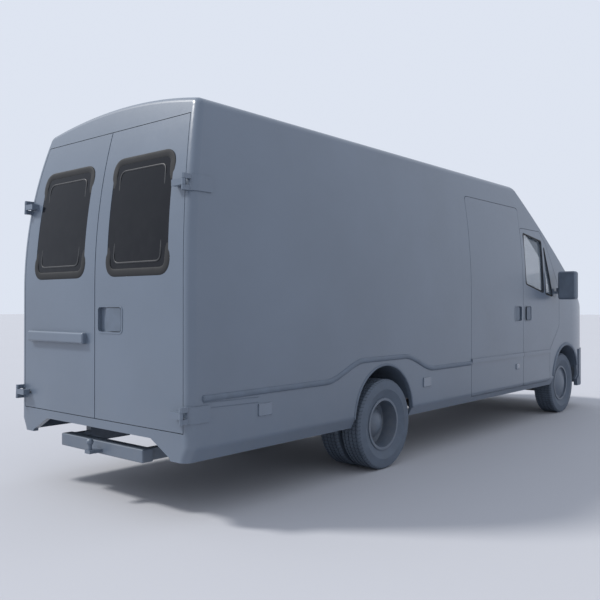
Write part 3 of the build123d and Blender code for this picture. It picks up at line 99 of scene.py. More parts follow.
# ---- shader maths ----------------------------------------------------------------------------------
class Wire:
    """A shader socket that can be used in Python sums, each of which adds a Math node."""

    def __init__(self, maker: "Shader", socket: Any) -> None:
        """Wrap one output socket of a maker's tree."""
        self.maker = maker
        self.socket = socket

    def _math(self, operation: str, first: Any, second: Any) -> "Wire":
        """One Math node on two values or wires."""
        return self.maker.node("ShaderNodeMath", {"operation": operation}, {0: first, 1: second})

    def __add__(self, other: Any) -> "Wire":
        """Sum."""
        return self._math("ADD", self, other)

    __radd__ = __add__

    def __mul__(self, other: Any) -> "Wire":
        """Product."""
        return self._math("MULTIPLY", self, other)

    __rmul__ = __mul__

    def __sub__(self, other: Any) -> "Wire":
        """Difference."""
        return self._math("SUBTRACT", self, other)

    def __rsub__(self, other: Any) -> "Wire":
        """Reflected difference, so that 1 - mask works."""
        return self._math("SUBTRACT", other, self)

    def __pow__(self, other: Any) -> "Wire":
        """Power."""
        return self._math("POWER", self, other)

    def clamped(self) -> "Wire":
        """The value held between 0 and 1."""
        return self._math("MAXIMUM", self._math("MINIMUM", self, 1.0), 0.0)

    def over(self, low: float, high: float) -> "Wire":
        """0 at low, 1 at high, and straight between them.

        Args:
            low: value that gives 0.
            high: value that gives 1.

        Returns:
            The ramped and clamped wire.
        """
        return ((self - low) * (1.0 / (high - low))).clamped()

    def wave(self) -> "Wire":
        """Sine of the value."""
        return self._math("SINE", self, 0.0)


class Shader:
    """Maker of one material's nodes."""

    def __init__(self, name: str) -> None:
        """Start an empty material with an output and a Principled shader."""
        self.material = bpy.data.materials.new(name)
        self.material.use_nodes = True
        self.tree = self.material.node_tree
        self.tree.nodes.clear()
        self.surface = self.tree.nodes.new("ShaderNodeBsdfPrincipled")
        output = self.tree.nodes.new("ShaderNodeOutputMaterial")
        self.tree.links.new(self.surface.outputs["BSDF"], output.inputs["Surface"])

    def node(self, kind: str, settings: dict[str, Any], inputs: dict[Any, Any], out: Any = 0) -> Wire:
        """Any node at all.

        Args:
            kind: the node's type name.
            settings: attributes that are set first.
            inputs: values or wires by socket name or number.
            out: the output that is wanted.

        Returns:
            The wire of that output.
        """
        made = self.tree.nodes.new(kind)
        for key, value in settings.items():
            setattr(made, key, value)
        for key, value in inputs.items():
            self.join(value, made.inputs[key])
        return Wire(self, made.outputs[out])

    def join(self, value: Any, socket: Any) -> None:
        """Feed a socket from a wire, or set it to a number or colour."""
        if isinstance(value, Wire):
            self.tree.links.new(value.socket, socket)
        elif socket.type == "RGBA" and len(value) == 3:
            socket.default_value = (*value, 1.0)
        else:
            socket.default_value = value

    def place(self) -> Wire:
        """Object coordinates, in metres."""
        return self.node("ShaderNodeTexCoord", {}, {}, "Object")

    def axes(self) -> tuple[Wire, Wire, Wire]:
        """X, Y and Z of the Object coordinates."""
        split = self.tree.nodes.new("ShaderNodeSeparateXYZ")
        self.tree.links.new(self.place().socket, split.inputs[0])
        return Wire(self, split.outputs[0]), Wire(self, split.outputs[1]), Wire(self, split.outputs[2])

    def noise(self, scale: float, detail: float = 3.0, roughness: float = 0.5) -> Wire:
        """Noise on Object coordinates, near 0.5 on average."""
        inputs = {"Vector": self.place(), "Scale": scale, "Detail": detail, "Roughness": roughness}
        return self.node("ShaderNodeTexNoise", {}, inputs, "Fac")

    def mixed(self, factor: Any, first: Any, second: Any) -> Wire:
        """Blend of two colours."""
        made = self.tree.nodes.new("ShaderNodeMix")
        made.data_type = "RGBA"
        for value, socket in ((factor, made.inputs[0]), (first, made.inputs[6]), (second, made.inputs[7])):
            self.join(value, socket)
        return Wire(self, made.outputs[2])

    def bump(self, height: Wire, strength: float, distance: float) -> None:
        """Feed a height through a Bump node into the surface's normal."""
        inputs = {"Height": height, "Strength": strength, "Distance": distance}
        self.feed(Normal=self.node("ShaderNodeBump", {}, inputs))

    def feed(self, **sockets: Any) -> None:
        """Set or feed the Principled shader's sockets; an underscore stands for a space."""
        for key, value in sockets.items():
            self.join(value, self.surface.inputs[key.replace("_", " ")])


def shade(colour: Sequence[float], factor: float) -> Colour:
    """A colour made darker or lighter."""
    return tuple(min(1.0, channel * factor) for channel in colour[:3])


# ---- finishes --------------------------------------------------------------------------------------
@dataclass(frozen=True)
class Paint:
    """Sprayed paint: faint clouding, orange peel, road dust low down."""

    name: str
    colour: Colour
    roughness: float = 0.36
    coat: float = 0.45
    dust: float = 0.16
    peel: float = 0.12
    peel_scale: float = 420.0
    dust_span: tuple[float, float] = (0.25, 1.15)

    def build(self) -> bpy.types.Material:
        """The material: colour = paint x cloud noise, blended to dust by height and a patchy noise."""
        make = Shader(self.name)
        height = make.axes()[2]
        cloud = make.noise(1.6, 4.0)
        base = make.mixed(cloud.over(0.3, 0.7), shade(self.colour, 0.95), shade(self.colour, 1.05))
        patches = make.noise(7.0, 6.0, 0.65).over(0.35, 0.75)
        film = (1.0 - height.over(*self.dust_span)) * patches * self.dust
        make.feed(Base_Color=make.mixed(film, base, ROAD_DUST))
        make.feed(Roughness=film * 0.4 + make.noise(28.0, 3.0) * 0.10 + (self.roughness - 0.05))
        make.feed(Coat_Weight=self.coat, Coat_Roughness=0.22, Metallic=0.0)
        make.bump(make.noise(self.peel_scale, 2.0), self.peel, 0.0006)
        return make.material


@dataclass(frozen=True)
class Grain:
    """Moulded plastic or rubber with a fine grain and scuffs."""

    name: str
    colour: Colour
    roughness: float = 0.55
    scale: float = 900.0
    depth: float = 0.25
    sheen: float = 0.0

    def build(self) -> bpy.types.Material:
        """The material: a cell pattern for the grain and a wide noise for wear and tone."""
        make = Shader(self.name)
        inputs = {"Vector": make.place(), "Scale": self.scale}
        cells = make.node("ShaderNodeTexVoronoi", {}, inputs, "Distance")
        wear = make.noise(9.0, 5.0, 0.6)
        tones = shade(self.colour, 0.9), shade(self.colour, 1.14)
        make.feed(Base_Color=make.mixed(wear.over(0.35, 0.75), *tones))
        make.feed(Roughness=wear * 0.22 + (self.roughness - 0.11), Sheen_Weight=self.sheen)
        make.bump(cells, self.depth, 0.0005)
        return make.material


@dataclass(frozen=True)
class Metal:
    """Cast, forged or sheet metal with rust or heat stains."""

    name: str
    colour: Colour
    stain: Colour
    roughness: float = 0.5
    metallic: float = 0.9
    scale: float = 160.0

    def build(self) -> bpy.types.Material:
        """The material: metal under stain patches whose edges follow two noises."""
        make = Shader(self.name)
        patch = (make.noise(6.0, 6.0, 0.7) * 0.7 + make.noise(40.0, 3.0) * 0.3).over(0.48, 0.66)
        make.feed(Base_Color=make.mixed(patch, self.colour, self.stain))
        make.feed(Metallic=(1.0 - patch) * self.metallic, Roughness=patch * 0.3 + self.roughness)
        make.bump(make.noise(self.scale, 4.0, 0.6), 0.3, 0.002)
        return make.material


@dataclass(frozen=True)
class Tyre:
    """Tyre rubber in the body's blue-grey, with sipes across the tread painted dark as shade in their
    grooves, and a dusty band.
    """

    name: str
    colour: Colour
    axle_x: float
    axle_z: float = AXLE_Z
    tread_radius: float = 0.352
    sipe_pitch: float = 74.0
    zigzag_pitch: float = 160.0
    ring_pitch: float = 620.0

    def build(self) -> bpy.types.Material:
        """The material: radius and angle about the axle give sipes on the tread and rings on the wall; the
        sipes also carry painted shade.
        """
        make = Shader(self.name)
        x, y, z = make.axes()
        dx, dz = x - self.axle_x, z - self.axle_z
        radius = (dx * dx + dz * dz) ** 0.5
        angle = make.node("ShaderNodeMath", {"operation": "ARCTAN2"}, {0: dz, 1: dx})
        tread = radius.over(self.tread_radius, self.tread_radius + 0.006)
        zigzag = (y * self.zigzag_pitch).wave() * 0.9
        sipe = (angle * self.sipe_pitch + zigzag).wave().over(0.72, 0.95)
        rings = (radius * self.ring_pitch).wave() * (1.0 - tread)
        dusty = make.noise(14.0, 5.0, 0.6).over(0.35, 0.75)
        base = make.mixed(dusty, shade(self.colour, 0.86), shade(self.colour, 1.08))
        # Painted shade: the sipes on the tread are blended towards a quarter of the rubber's colour, as if
        # shaded inside their grooves.
        make.feed(Base_Color=make.mixed(sipe * tread * 0.75, base, shade(self.colour, 0.25)))
        make.feed(Roughness=dusty * 0.15 + 0.6)
        make.bump(rings * 0.12 - sipe * tread + make.noise(300.0, 3.0) * 0.15, 0.5, 0.003)
        return make.material


@dataclass(frozen=True)
class Glass:
    """Safety glass: see-through or dark, with a film of dust towards its lower edge."""

    name: str
    colour: Colour
    alpha: float
    low_z: float
    high_z: float
    roughness: float = 0.05
    dust: float = 0.2
    specular: float = 0.5
    coat: float = 0.5

    def build(self) -> bpy.types.Material:
        """The material: dust grows downwards and raises alpha and roughness a little."""
        make = Shader(self.name)
        height = make.axes()[2]
        patches = make.noise(11.0, 6.0, 0.6).over(0.4, 0.8)
        film = (1.0 - height.over(self.low_z, self.high_z)) * patches
        make.feed(Base_Color=make.mixed(film * self.dust, self.colour, PANE_DUST))
        make.feed(Roughness=film * 0.2 + self.roughness, Alpha=(film * 0.12 + self.alpha).clamped())
        make.feed(Coat_Weight=self.coat, Coat_Roughness=0.03, Specular_IOR_Level=self.specular)
        make.bump(make.noise(2.2, 2.0), 0.02, 0.01)
        return make.material


@dataclass(frozen=True)
class Lens:
    """Lamp lens in the body colour with fine vertical flutes."""

    name: str
    colour: Colour
    flute_pitch: float = 700.0

    def build(self) -> bpy.types.Material:
        """The material: flutes are a sine of Y plus a sine of X, so that they show on every face."""
        make = Shader(self.name)
        x, y, _ = make.axes()
        flutes = (y * self.flute_pitch).wave() * 0.5 + (x * self.flute_pitch).wave() * 0.5
        tone = make.noise(12.0, 4.0)
        make.feed(Base_Color=make.mixed(tone, shade(self.colour, 0.95), shade(self.colour, 1.1)))
        make.feed(Roughness=tone * 0.12 + 0.1, Coat_Weight=0.8, Coat_Roughness=0.05)
        make.bump(flutes, 0.25, 0.002)
        return make.material


@dataclass(frozen=True)
class Cloth:
    """Woven seat cloth: crossed threads, flecks and a light sheen."""

    name: str
    colour: Colour
    thread: float = 2400.0

    def build(self) -> bpy.types.Material:
        """The material: product of two sines for the weave, on X + Z and on Y, with flecked colour."""
        make = Shader(self.name)
        x, y, z = make.axes()
        weave = ((x + z) * self.thread).wave() * (y * self.thread).wave()
        fleck = make.noise(700.0, 2.0).over(0.5, 0.62)
        wear = make.noise(8.0, 4.0).over(0.3, 0.75)
        base = make.mixed(wear, shade(self.colour, 0.85), shade(self.colour, 1.2))
        make.feed(Base_Color=make.mixed(fleck * 0.5, base, shade(self.colour, 2.4)))
        make.feed(Roughness=wear * 0.1 + 0.8, Sheen_Weight=0.4)
        make.bump(weave, 0.35, 0.0012)
        return make.material


class Finishes:
    """All finishes of the van, by the record's slot names and a few more for the added pieces."""

    def __init__(self) -> None:
        """Build every material once."""
        dark = (0.010, 0.011, 0.013)
        kinds: tuple[Any, ...] = (
            Paint("body", BODY),
            Paint("inner_paint", shade(BODY, 0.75), 0.55, 0.0, 0.2, 0.2),
            Paint("wheel", shade(BODY, 0.93), 0.45, 0.15, 0.6, 0.15),
            Paint("chassis", (0.035, 0.038, 0.044), 0.6, 0.0, 0.5, 0.5),
            Paint("tow_paint", shade(BODY, 0.9), 0.42, 0.2, 0.35, 0.3),
            Grain("trim", shade(BODY, 0.92), 0.5, 700.0, 0.15),
            Grain("cab_trim", (0.045, 0.048, 0.055), 0.6),
            Grain("tank", (0.02, 0.02, 0.022), 0.45, 300.0, 0.2),
            Grain("pedal", (0.02, 0.02, 0.02), 0.7, 240.0, 0.6),
            Grain("seal", dark, 0.72, 1400.0, 0.1),
            Grain("bead", (0.030, 0.031, 0.034), 0.45, 1400.0, 0.05),
            Grain("lining", (0.06, 0.064, 0.072), 0.8, 500.0, 0.3),
            Metal("engine", (0.11, 0.115, 0.12), (0.07, 0.055, 0.045), 0.5, 0.8),
            Metal("exhaust", (0.32, 0.30, 0.28), (0.12, 0.065, 0.04), 0.4),
            Metal("steel", (0.22, 0.23, 0.245), (0.10, 0.06, 0.04), 0.35),
            Metal("screw", (0.05, 0.055, 0.065), (0.03, 0.03, 0.035), 0.4, 0.6),
            Glass("cab_glass", (0.30, 0.36, 0.42), 0.30, 1.45, 2.2),
            Glass("rear_glass", (0.007, 0.008, 0.011), 1.0, 1.55, 2.4, 0.10, 0.02, 0.18, 0.05),
            Lens("lamp", shade(BODY, 1.05)),
            Cloth("seat_cloth", (0.035, 0.04, 0.05)),
            Tyre("front_tyre", shade(BODY, 0.8), FRONT_AXLE),
            Tyre("rear_tyre", shade(BODY, 0.8), REAR_AXLE),
        )
        self.made = {kind.name: kind.build() for kind in kinds}

    def __getitem__(self, name: str) -> bpy.types.Material:
        """The material of one finish."""
        return self.made[name]

    def dress_nodes(self) -> None:
        """Give every CAD node the finish of its record slot; tyres get the one of their axle."""
        slots = {part["node"]: part["material_slot"] for part in frame["record"]["subparts"]}
        for name, node in frame["nodes"].items():
            finish = slots[name]
            if name == "tow_frame":
                finish = "tow_paint"
            if finish == "tyre":
                finish = "front_tyre" if name.startswith("front") else "rear_tyre"
            node.data.materials.clear()
            node.data.materials.append(self[finish])


# ---- surfaces --------------------------------------------------------------------------------------
def grid_faces(rows: int, columns: int, wrap_rows: bool, wrap_columns: bool) -> Array:
    """Quads between neighbouring points of a rows x columns grid, closed round where asked."""
    row = np.arange(rows if wrap_rows else rows - 1)
    column = np.arange(columns if wrap_columns else columns - 1)
    r, c = (axis.ravel() for axis in np.meshgrid(row, column, indexing="ij"))
    r1, c1 = (r + 1) % rows, (c + 1) % columns
    return np.stack([r * columns + c, r * columns + c1, r1 * columns + c1, r1 * columns + c], axis=1)


def piece(name: str, parts: Sequence[Part], material: bpy.types.Material,
          body: str) -> bpy.types.Object:
    """One object out of several point and face arrays.

    Args:
        name: the object's name.
        parts: pairs of points (n, 3) in the row frame and faces (m, 4).
        material: its finish.
        body: the CAD body that it rides on.

    Returns:
        The object, with its normals pointing outwards.
    """
    starts = np.cumsum([0] + [len(points) for points, _ in parts[:-1]])
    points = np.concatenate([points for points, _ in parts])
    faces = np.concatenate([quads + start for (_, quads), start in zip(parts, starts)])
    mesh = bpy.data.meshes.new(name)
    mesh.from_pydata(points.tolist(), [], faces.tolist())
    shape = bmesh.new()
    shape.from_mesh(mesh)
    bmesh.ops.remove_doubles(shape, verts=shape.verts, dist=1e-6)
    bmesh.ops.recalc_face_normals(shape, faces=shape.faces)
    shape.to_mesh(mesh)
    shape.free()
    mesh.polygons.foreach_set("use_smooth", np.ones(len(mesh.polygons), bool))
    made = bpy.data.objects.new(name, mesh)
    bpy.context.scene.collection.objects.link(made)
    mesh.materials.append(material)
    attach(made, body)
    return made


def rounded_loop(corners: Array, radius: float, steps: int = 10) -> Array:
    """Closed outline whose corners are arcs.

    Each corner's arc is a quadratic blend: (1-t)^2 start + 2t(1-t) corner + t^2 end, where start and end
    lie a radius away from the corner along its two edges.

    Args:
        corners: (n, 2) outline in order.
        radius: how far from each corner the arc starts.
        steps: points of each arc.

    Returns:
        (n * steps, 2) points.
    """
    before = np.roll(corners, 1, axis=0) - corners
    after = np.roll(corners, -1, axis=0) - corners
    before /= np.linalg.norm(before, axis=1, keepdims=True)
    after /= np.linalg.norm(after, axis=1, keepdims=True)
    t = np.linspace(0, 1, steps)[None, :, None]
    start, end, peak = corners + before * radius, corners + after * radius, corners
    arcs = (1 - t) ** 2 * start[:, None] + 2 * t * (1 - t) * peak[:, None] + t**2 * end[:, None]
    return arcs.reshape(-1, 2)


def inset(corners: Array, amount: float) -> Array:
    """Convex outline with every edge moved towards its middle by an amount.

    Each new corner is where its two moved edges cross: corner + (in_a + in_b) / (1 + in_a . in_b) x amount.
    """
    edge = np.roll(corners, -1, axis=0) - corners
    edge /= np.linalg.norm(edge, axis=1, keepdims=True)
    inward = np.stack([-edge[:, 1], edge[:, 0]], axis=1)
    inward *= np.sign(np.sum(inward[:1] * (corners.mean(axis=0) - corners[:1])))
    previous = np.roll(inward, 1, axis=0)
    share = 1 + np.sum(inward * previous, axis=1, keepdims=True)
    return corners + (inward + previous) / share * amount


def tube(path: Array, width: float, height: float, out: Array, closed: bool, sides: int = 10) -> Part:
    """Oval profile carried along a path.

    Point = path + width x cos(a) x across + height x sin(a) x up, where across = tangent x out and
    up = across x tangent.

    Args:
        path: (n, 3) points.
        width: half width of the profile, in the surface.
        height: half height of the profile, off the surface.
        out: (3,) or (n, 3) direction off the surface.
        closed: whether the path closes on itself.
        sides: points round the profile.

    Returns:
        Points and faces.
    """
    if closed:
        tangent = np.roll(path, -1, axis=0) - np.roll(path, 1, axis=0)
    else:
        tangent = np.gradient(path, axis=0)
    tangent /= np.linalg.norm(tangent, axis=1, keepdims=True)
    across = np.cross(tangent, np.broadcast_to(out, path.shape))
    across /= np.linalg.norm(across, axis=1, keepdims=True)
    up = np.cross(across, tangent)
    angle = np.linspace(0, 2 * np.pi, sides, endpoint=False)[None, :, None]
    rings = path[:, None] + width * np.cos(angle) * across[:, None] + height * np.sin(angle) * up[:, None]
    if not closed:  # each end is drawn in to one point
        rings = np.concatenate([path[:1, None] + 0 * rings[:1], rings, path[-1:, None] + 0 * rings[-1:]])
    return rings.reshape(-1, 3), grid_faces(len(rings), sides, closed, True)


def lathe(profile: Array, centre: Array, axis: Array, steps: int = 32) -> Part:
    """Profile of (radius, height) turned round an axis: centre + height x axis + radius x ring."""
    axis = axis / np.linalg.norm(axis)
    u = np.cross(axis, (0.31, 0.87, 0.39))
    u /= np.linalg.norm(u)
    v = np.cross(axis, u)
    angle = np.linspace(0, 2 * np.pi, steps, endpoint=False)[None, :, None]
    ring = np.cos(angle) * u + np.sin(angle) * v
    points = centre + profile[:, None, 1:] * axis + profile[:, None, :1] * ring
    return points.reshape(-1, 3), grid_faces(len(profile), steps, False, True)


def half_width(z: Array) -> Array:
    """Half width of the body: its full half width less the drop of the side circle above the waist."""
    rise = np.maximum(0.0, z - WAIST_Z)
    return HALF_WIDTH - SIDE_RADIUS + np.sqrt(SIDE_RADIUS**2 - rise**2)


def tail_x(z: Array) -> Array:
    """Rear face: upright to its break, then forward by the drop of the tail circle."""
    rise = np.maximum(0.0, z - TAIL_BREAK_Z)
    return TAIL + TAIL_RADIUS - np.sqrt(TAIL_RADIUS**2 - rise**2)


def nose_slope(x: Array) -> Array:
    """Height of the raked screen plane at an X station."""
    (start, top), (end, foot) = SCREEN_TOP, SCREEN_FOOT
    return top + (x - start) / (end - start) * (foot - top)


# ---- sub-assemblies --------------------------------------------------------------------------------
@dataclass
class RearGlazing:
    """Rubber surround and thin bead line of the two rear windows."""

    finishes: Finishes
    low_z: float = 1.575
    high_z: float = 2.360
    low_span: tuple[float, float] = (0.144, 0.798)
    high_span: tuple[float, float] = (0.130, 0.763)

    def outline(self, side: Side, margin: float, radius: float) -> Array:
        """Window outline in (y, z), drawn in by a margin."""
        corners = np.array([
            (self.low_span[0], self.low_z), (self.low_span[1], self.low_z),
            (self.high_span[1], self.high_z), (self.high_span[0], self.high_z),
        ])
        loop = rounded_loop(inset(corners, margin), radius)
        return loop * np.array([side.value, 1.0])

    def ring(self, side: Side, margin: float, radius: float, width: float, height: float,
             sunk: float) -> Part:
        """Oval bead on the door's curved face, a distance under the outer skin."""
        loop = self.outline(side, margin, radius)
        path = np.stack([tail_x(loop[:, 1]) + sunk, loop[:, 0], loop[:, 1]], axis=1)
        return tube(path, width, height, np.array([-1.0, 0.0, 0.0]), True)

    def build(self) -> None:
        """A rubber seal at the edge of each pane and a lighter bead inside it."""
        for side in Side:
            body = f"rear_door_{side.word}_body"
            piece(f"rear_seal_{side.word}", [self.ring(side, 0.008, 0.085, 0.028, 0.005, 0.001)],
                  self.finishes["seal"], body)
            piece(f"rear_bead_{side.word}", [self.ring(side, 0.075, 0.055, 0.006, 0.0030, 0.0005)],
                  self.finishes["bead"], body)


@dataclass
class CabGlazing:
    """Rubber run channels round the cab's side windows."""

    finishes: Finishes

    def side_ring(self, corners: Sequence[tuple[float, float]], side: Side, margin: float) -> Part:
        """Seal just proud of the door skin, along an outline of (x, z) corners."""
        loop = rounded_loop(inset(np.array(corners), margin), 0.035)
        y = half_width(loop[:, 1]) * side.value
        path = np.stack([loop[:, 0], y, loop[:, 1]], axis=1)
        return tube(path, 0.009, 0.004, np.array([0.0, float(side.value), 0.0]), True)

    def build(self) -> None:
        """Seals of the sliding window and of the quarter window, on each door."""
        rear, front = PILLAR + 0.072, FRONT_AXLE - 0.715
        window = [(rear, 1.596), (front, 1.500), (front, 2.130), (rear, 2.192)]
        quarter_rear = FRONT_AXLE - 0.665
        quarter = [(quarter_rear, 1.492), (FRONT_AXLE - 0.440, 1.466), (quarter_rear, 2.085)]
        for side in Side:
            rings = [self.side_ring(window, side, 0.010), self.side_ring(quarter, side, 0.004)]
            piece(f"window_seal_{side.word}", rings, self.finishes["seal"],
                  f"cab_door_{side.word}_body")


@dataclass
class Wipers:
    """Two wiper arms with their blades, parked low on the windscreen."""

    finishes: Finishes
    pivots: tuple[float, float] = (0.34, -0.34)
    length: float = 0.62
    out: tuple[float, float, float] = (0.567, 0.0, 0.823)

    def build(self) -> None:
        """Each arm is a bowed tube a little above the screen plane; the blade lies under its end."""
        for index, y in enumerate(self.pivots):
            t = np.linspace(0, 1, 24)
            bow = np.sin(np.pi * t)
            x = FRONT_AXLE + 0.455 - 0.10 * t - 0.05 * bow
            path = np.stack([x, y + self.length * t, nose_slope(x) + 0.012 + 0.012 * bow], axis=1)
            out = np.array(self.out)
            reach = np.linspace(-0.30, 0.10, 20)
            bx = x[-1] + 0.006 * np.cos(reach * 8)
            blade = np.stack([bx, path[-1, 1] + reach, nose_slope(bx) + 0.008], axis=1)
            parts = [tube(path, 0.008, 0.005, out, False), tube(blade, 0.009, 0.007, out, False)]
            cap = np.array([(0.0, 0.028), (0.012, 0.026), (0.020, 0.016), (0.022, 0.0), (0.0, 0.0)])
            parts.append(lathe(cap, path[0] - out * 0.006, out, 24))
            piece(f"wiper_{index + 1}", parts, self.finishes["seal"], "chassis")


def smooth(t: Array) -> Array:
    """Smooth step: 3t^2 - 2t^3 of t held between 0 and 1."""
    t = np.clip(t, 0.0, 1.0)
    return t * t * (3 - 2 * t)


def wing_y(x: Array) -> Array:
    """Half width of the wings at skirt height: the body's less the drop of the wing circle."""
    run = np.maximum(0.0, x - WING_START)
    return HALF_WIDTH - WING_RADIUS + np.sqrt(WING_RADIUS**2 - run**2)


@dataclass
class Mouldings:
    """Side moulding with a smooth rise over the rear wheels, and the front arch flares."""

    finishes: Finishes
    level: float = 0.785
    rise: float = 0.135
    half_height: float = 0.021
    proud: float = 0.0115
    hump_reach: float = 0.80
    hump_run: float = 0.50
    flare_radius: float = 0.438
    lip_radius: float = 0.434

    def height(self, x: Array) -> Array:
        """Level strip with a hump over the rear axle: smooth step of (reach - distance) / run."""
        return self.level + self.rise * smooth((self.hump_reach - np.abs(x - REAR_AXLE)) / self.hump_run)

    def strip(self, side: Side, start: float, end: float) -> Part:
        """Oval strip on the body side between two X stations."""
        x = np.linspace(start, end, max(12, int(abs(end - start) / 0.02)))
        z = self.height(x)
        path = np.stack([x, side.value * half_width(z), z], axis=1)
        return tube(path, self.half_height, self.proud, np.array([0.0, float(side.value), 0.0]), False, 16)

    def flare(self, side: Side) -> Part:
        """Oval lip round the front wheel opening: part of a circle about the arch's centre."""
        angle = np.radians(np.linspace(20, 172, 80))
        x = FRONT_AXLE + self.flare_radius * np.cos(angle)
        z = ARCH_Z + self.flare_radius * np.sin(angle)
        path = np.stack([x, side.value * wing_y(x), z], axis=1)
        return tube(path, 0.022, 0.012, np.array([0.0, float(side.value), 0.0]), False, 14)

    def arch_lip(self, side: Side) -> Part:
        """Thin lip round the rear wheel opening."""
        angle = np.radians(np.linspace(4, 176, 90))
        x = REAR_AXLE + self.lip_radius * np.cos(angle)
        z = ARCH_Z + self.lip_radius * np.sin(angle)
        path = np.stack([x, np.full_like(x, side.value * HALF_WIDTH), z], axis=1)
        return tube(path, 0.011, 0.006, np.array([0.0, float(side.value), 0.0]), False, 12)

    def lamp(self, side: Side) -> Part:
        """Front marker lamp: a crowned rounded rectangle, drawn in to its middle as it rises."""
        corners = np.array([(1.115, 0.648), (1.205, 0.648), (1.205, 0.712), (1.115, 0.712)])
        loop = rounded_loop(corners, 0.014)
        middle = loop.mean(axis=0)
        share = np.array([(1.0, 0.0), (1.0, 0.006), (0.93, 0.009), (0.6, 0.0100), (0.0, 0.0105)])
        rings = middle + share[:, None, :1] * (loop - middle)
        y = side.value * (1.0095 + share[:, None, 1:] + 0 * rings[:, :, :1])
        points = np.concatenate([rings[:, :, :1], y, rings[:, :, 1:]], axis=2)
        return points.reshape(-1, 3), grid_faces(len(share), len(loop), False, True)

    def build(self) -> None:
        """Strips stop short of the doors; each marker lamp rides what it sits on."""
        door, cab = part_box("side_door"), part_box("cab_door_right")
        start, gap, shortest = TAIL + 0.105, 0.006, 0.05
        spans = {
            Side.LEFT: [(start, cab[0].x - gap)],
            Side.RIGHT: [(start, door[0].x - gap), (door[1].x + gap, cab[0].x - gap)],
        }
        parts = [self.strip(side, a, b) for side in Side for a, b in spans[side] if b - a > shortest]
        parts += [self.flare(side) for side in Side] + [self.arch_lip(side) for side in Side]
        made = piece("moulding_strips", parts, self.finishes["trim"], "chassis")
        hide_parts("side_mouldings")
        for side, body in ((Side.LEFT, "chassis"), (Side.RIGHT, "side_door_body")):
            piece(f"front_marker_lamp_{side.word}", [self.lamp(side)], self.finishes["lamp"], body)


@dataclass
class BodyDetails:
    """Crease lines at the lower rear corner and screws on the rear hinges' straps."""

    finishes: Finishes
    crease_heights: tuple[float, ...] = (0.760, 0.725)
    screw_heights: tuple[float, ...] = (0.690, 2.130)
    screw_widths: tuple[float, ...] = (0.905, 0.855)

    def strip(self, side: Side, start: tuple[float, float], end: tuple[float, float],
              width: float) -> Part:
        """Straight raised line on the body side between two (x, z) places."""
        t = np.linspace(0, 1, 16)
        x = start[0] + (end[0] - start[0]) * t
        z = start[1] + (end[1] - start[1]) * t
        path = np.stack([x, side.value * (half_width(z) + 0.0002), z], axis=1)
        return tube(path, width, 0.0018, np.array([0.0, float(side.value), 0.0]), False, 8)

    def screws(self, side: Side) -> list[Part]:
        """Domed screw heads, two on each strap of the rear doors."""
        head = np.array([(0.0, 0.004), (0.004, 0.0042), (0.0085, 0.003), (0.010, 0.0), (0.0, 0.0)])
        made = []
        for z in self.screw_heights:
            for y in self.screw_widths:
                place = np.array([tail_x(np.array(z)) - 0.009, side.value * y, z])
                made.append(lathe(head, place, np.array([-1.0, 0.0, 0.0]), 20))
        return made

    def build(self) -> None:
        """The creases ride on the chassis and the screws on their doors."""
        for side in Side:
            lines = [self.strip(side, (TAIL + 0.11, z), (TAIL + 0.60, z - 0.012), 0.003)
                     for z in self.crease_heights]
            piece(f"crease_lines_{side.word}", lines, self.finishes["trim"], "chassis")
            piece(f"hinge_screws_{side.word}", self.screws(side), self.finishes["screw"],
                  f"rear_door_{side.word}_body")


@dataclass
class Cushion:
    """One padded block of a seat, from its low corner to its high corner."""

    low: tuple[float, float, float]
    high: tuple[float, float, float]
    crown: float = 0.014
    power: float = 0.38
    spread: float = 0.75

    def shape(self, count: int = 28) -> Part:
        """Crowned closed form.

        A unit sphere's direction (a, b, c) is sent to sign(a)|a|^power on each axis, which squares it off,
        and is divided by its largest coordinate^spread, which pushes the faces out towards the block's.

        Args:
            count: rows of the grid from pole to pole.

        Returns:
            Points and faces.
        """
        low, high = np.array(self.low) + self.crown, np.array(self.high) - self.crown
        polar = np.linspace(0, np.pi, count)[:, None]
        turn = np.linspace(0, 2 * np.pi, 2 * count, endpoint=False)[None, :]
        directions = np.stack([
            np.sin(polar) * np.cos(turn), np.sin(polar) * np.sin(turn), np.cos(polar) + 0 * turn
        ], axis=-1)
        squared = np.sign(directions) * np.abs(directions) ** self.power
        squared /= np.max(np.abs(squared), axis=-1, keepdims=True) ** self.spread
        squared = np.clip(squared, -1, 1)
        points = (low + high) / 2 + squared * (high - low) / 2
        return points.reshape(-1, 3), grid_faces(count, 2 * count, False, True)

    def piping(self, level: float, axis: int) -> Part:
        """Sewn cord round the cushion at a level of one axis: a thin tube on a rounded rectangle."""
        low, high = np.array(self.low) + self.crown * 0.8, np.array(self.high) - self.crown * 0.8
        others = [other for other in range(3) if other != axis]
        a, b = others
        corners = np.array([(low[a], low[b]), (high[a], low[b]), (high[a], high[b]), (low[a], high[b])])
        loop = rounded_loop(corners, 0.05, 12)
        path = np.zeros((len(loop), 3))
        path[:, others] = loop
        path[:, axis] = low[axis] + (high[axis] - low[axis]) * level
        out = np.zeros(3)
        out[axis] = 1.0
        return tube(path, 0.0035, 0.0035, out, True, 8)


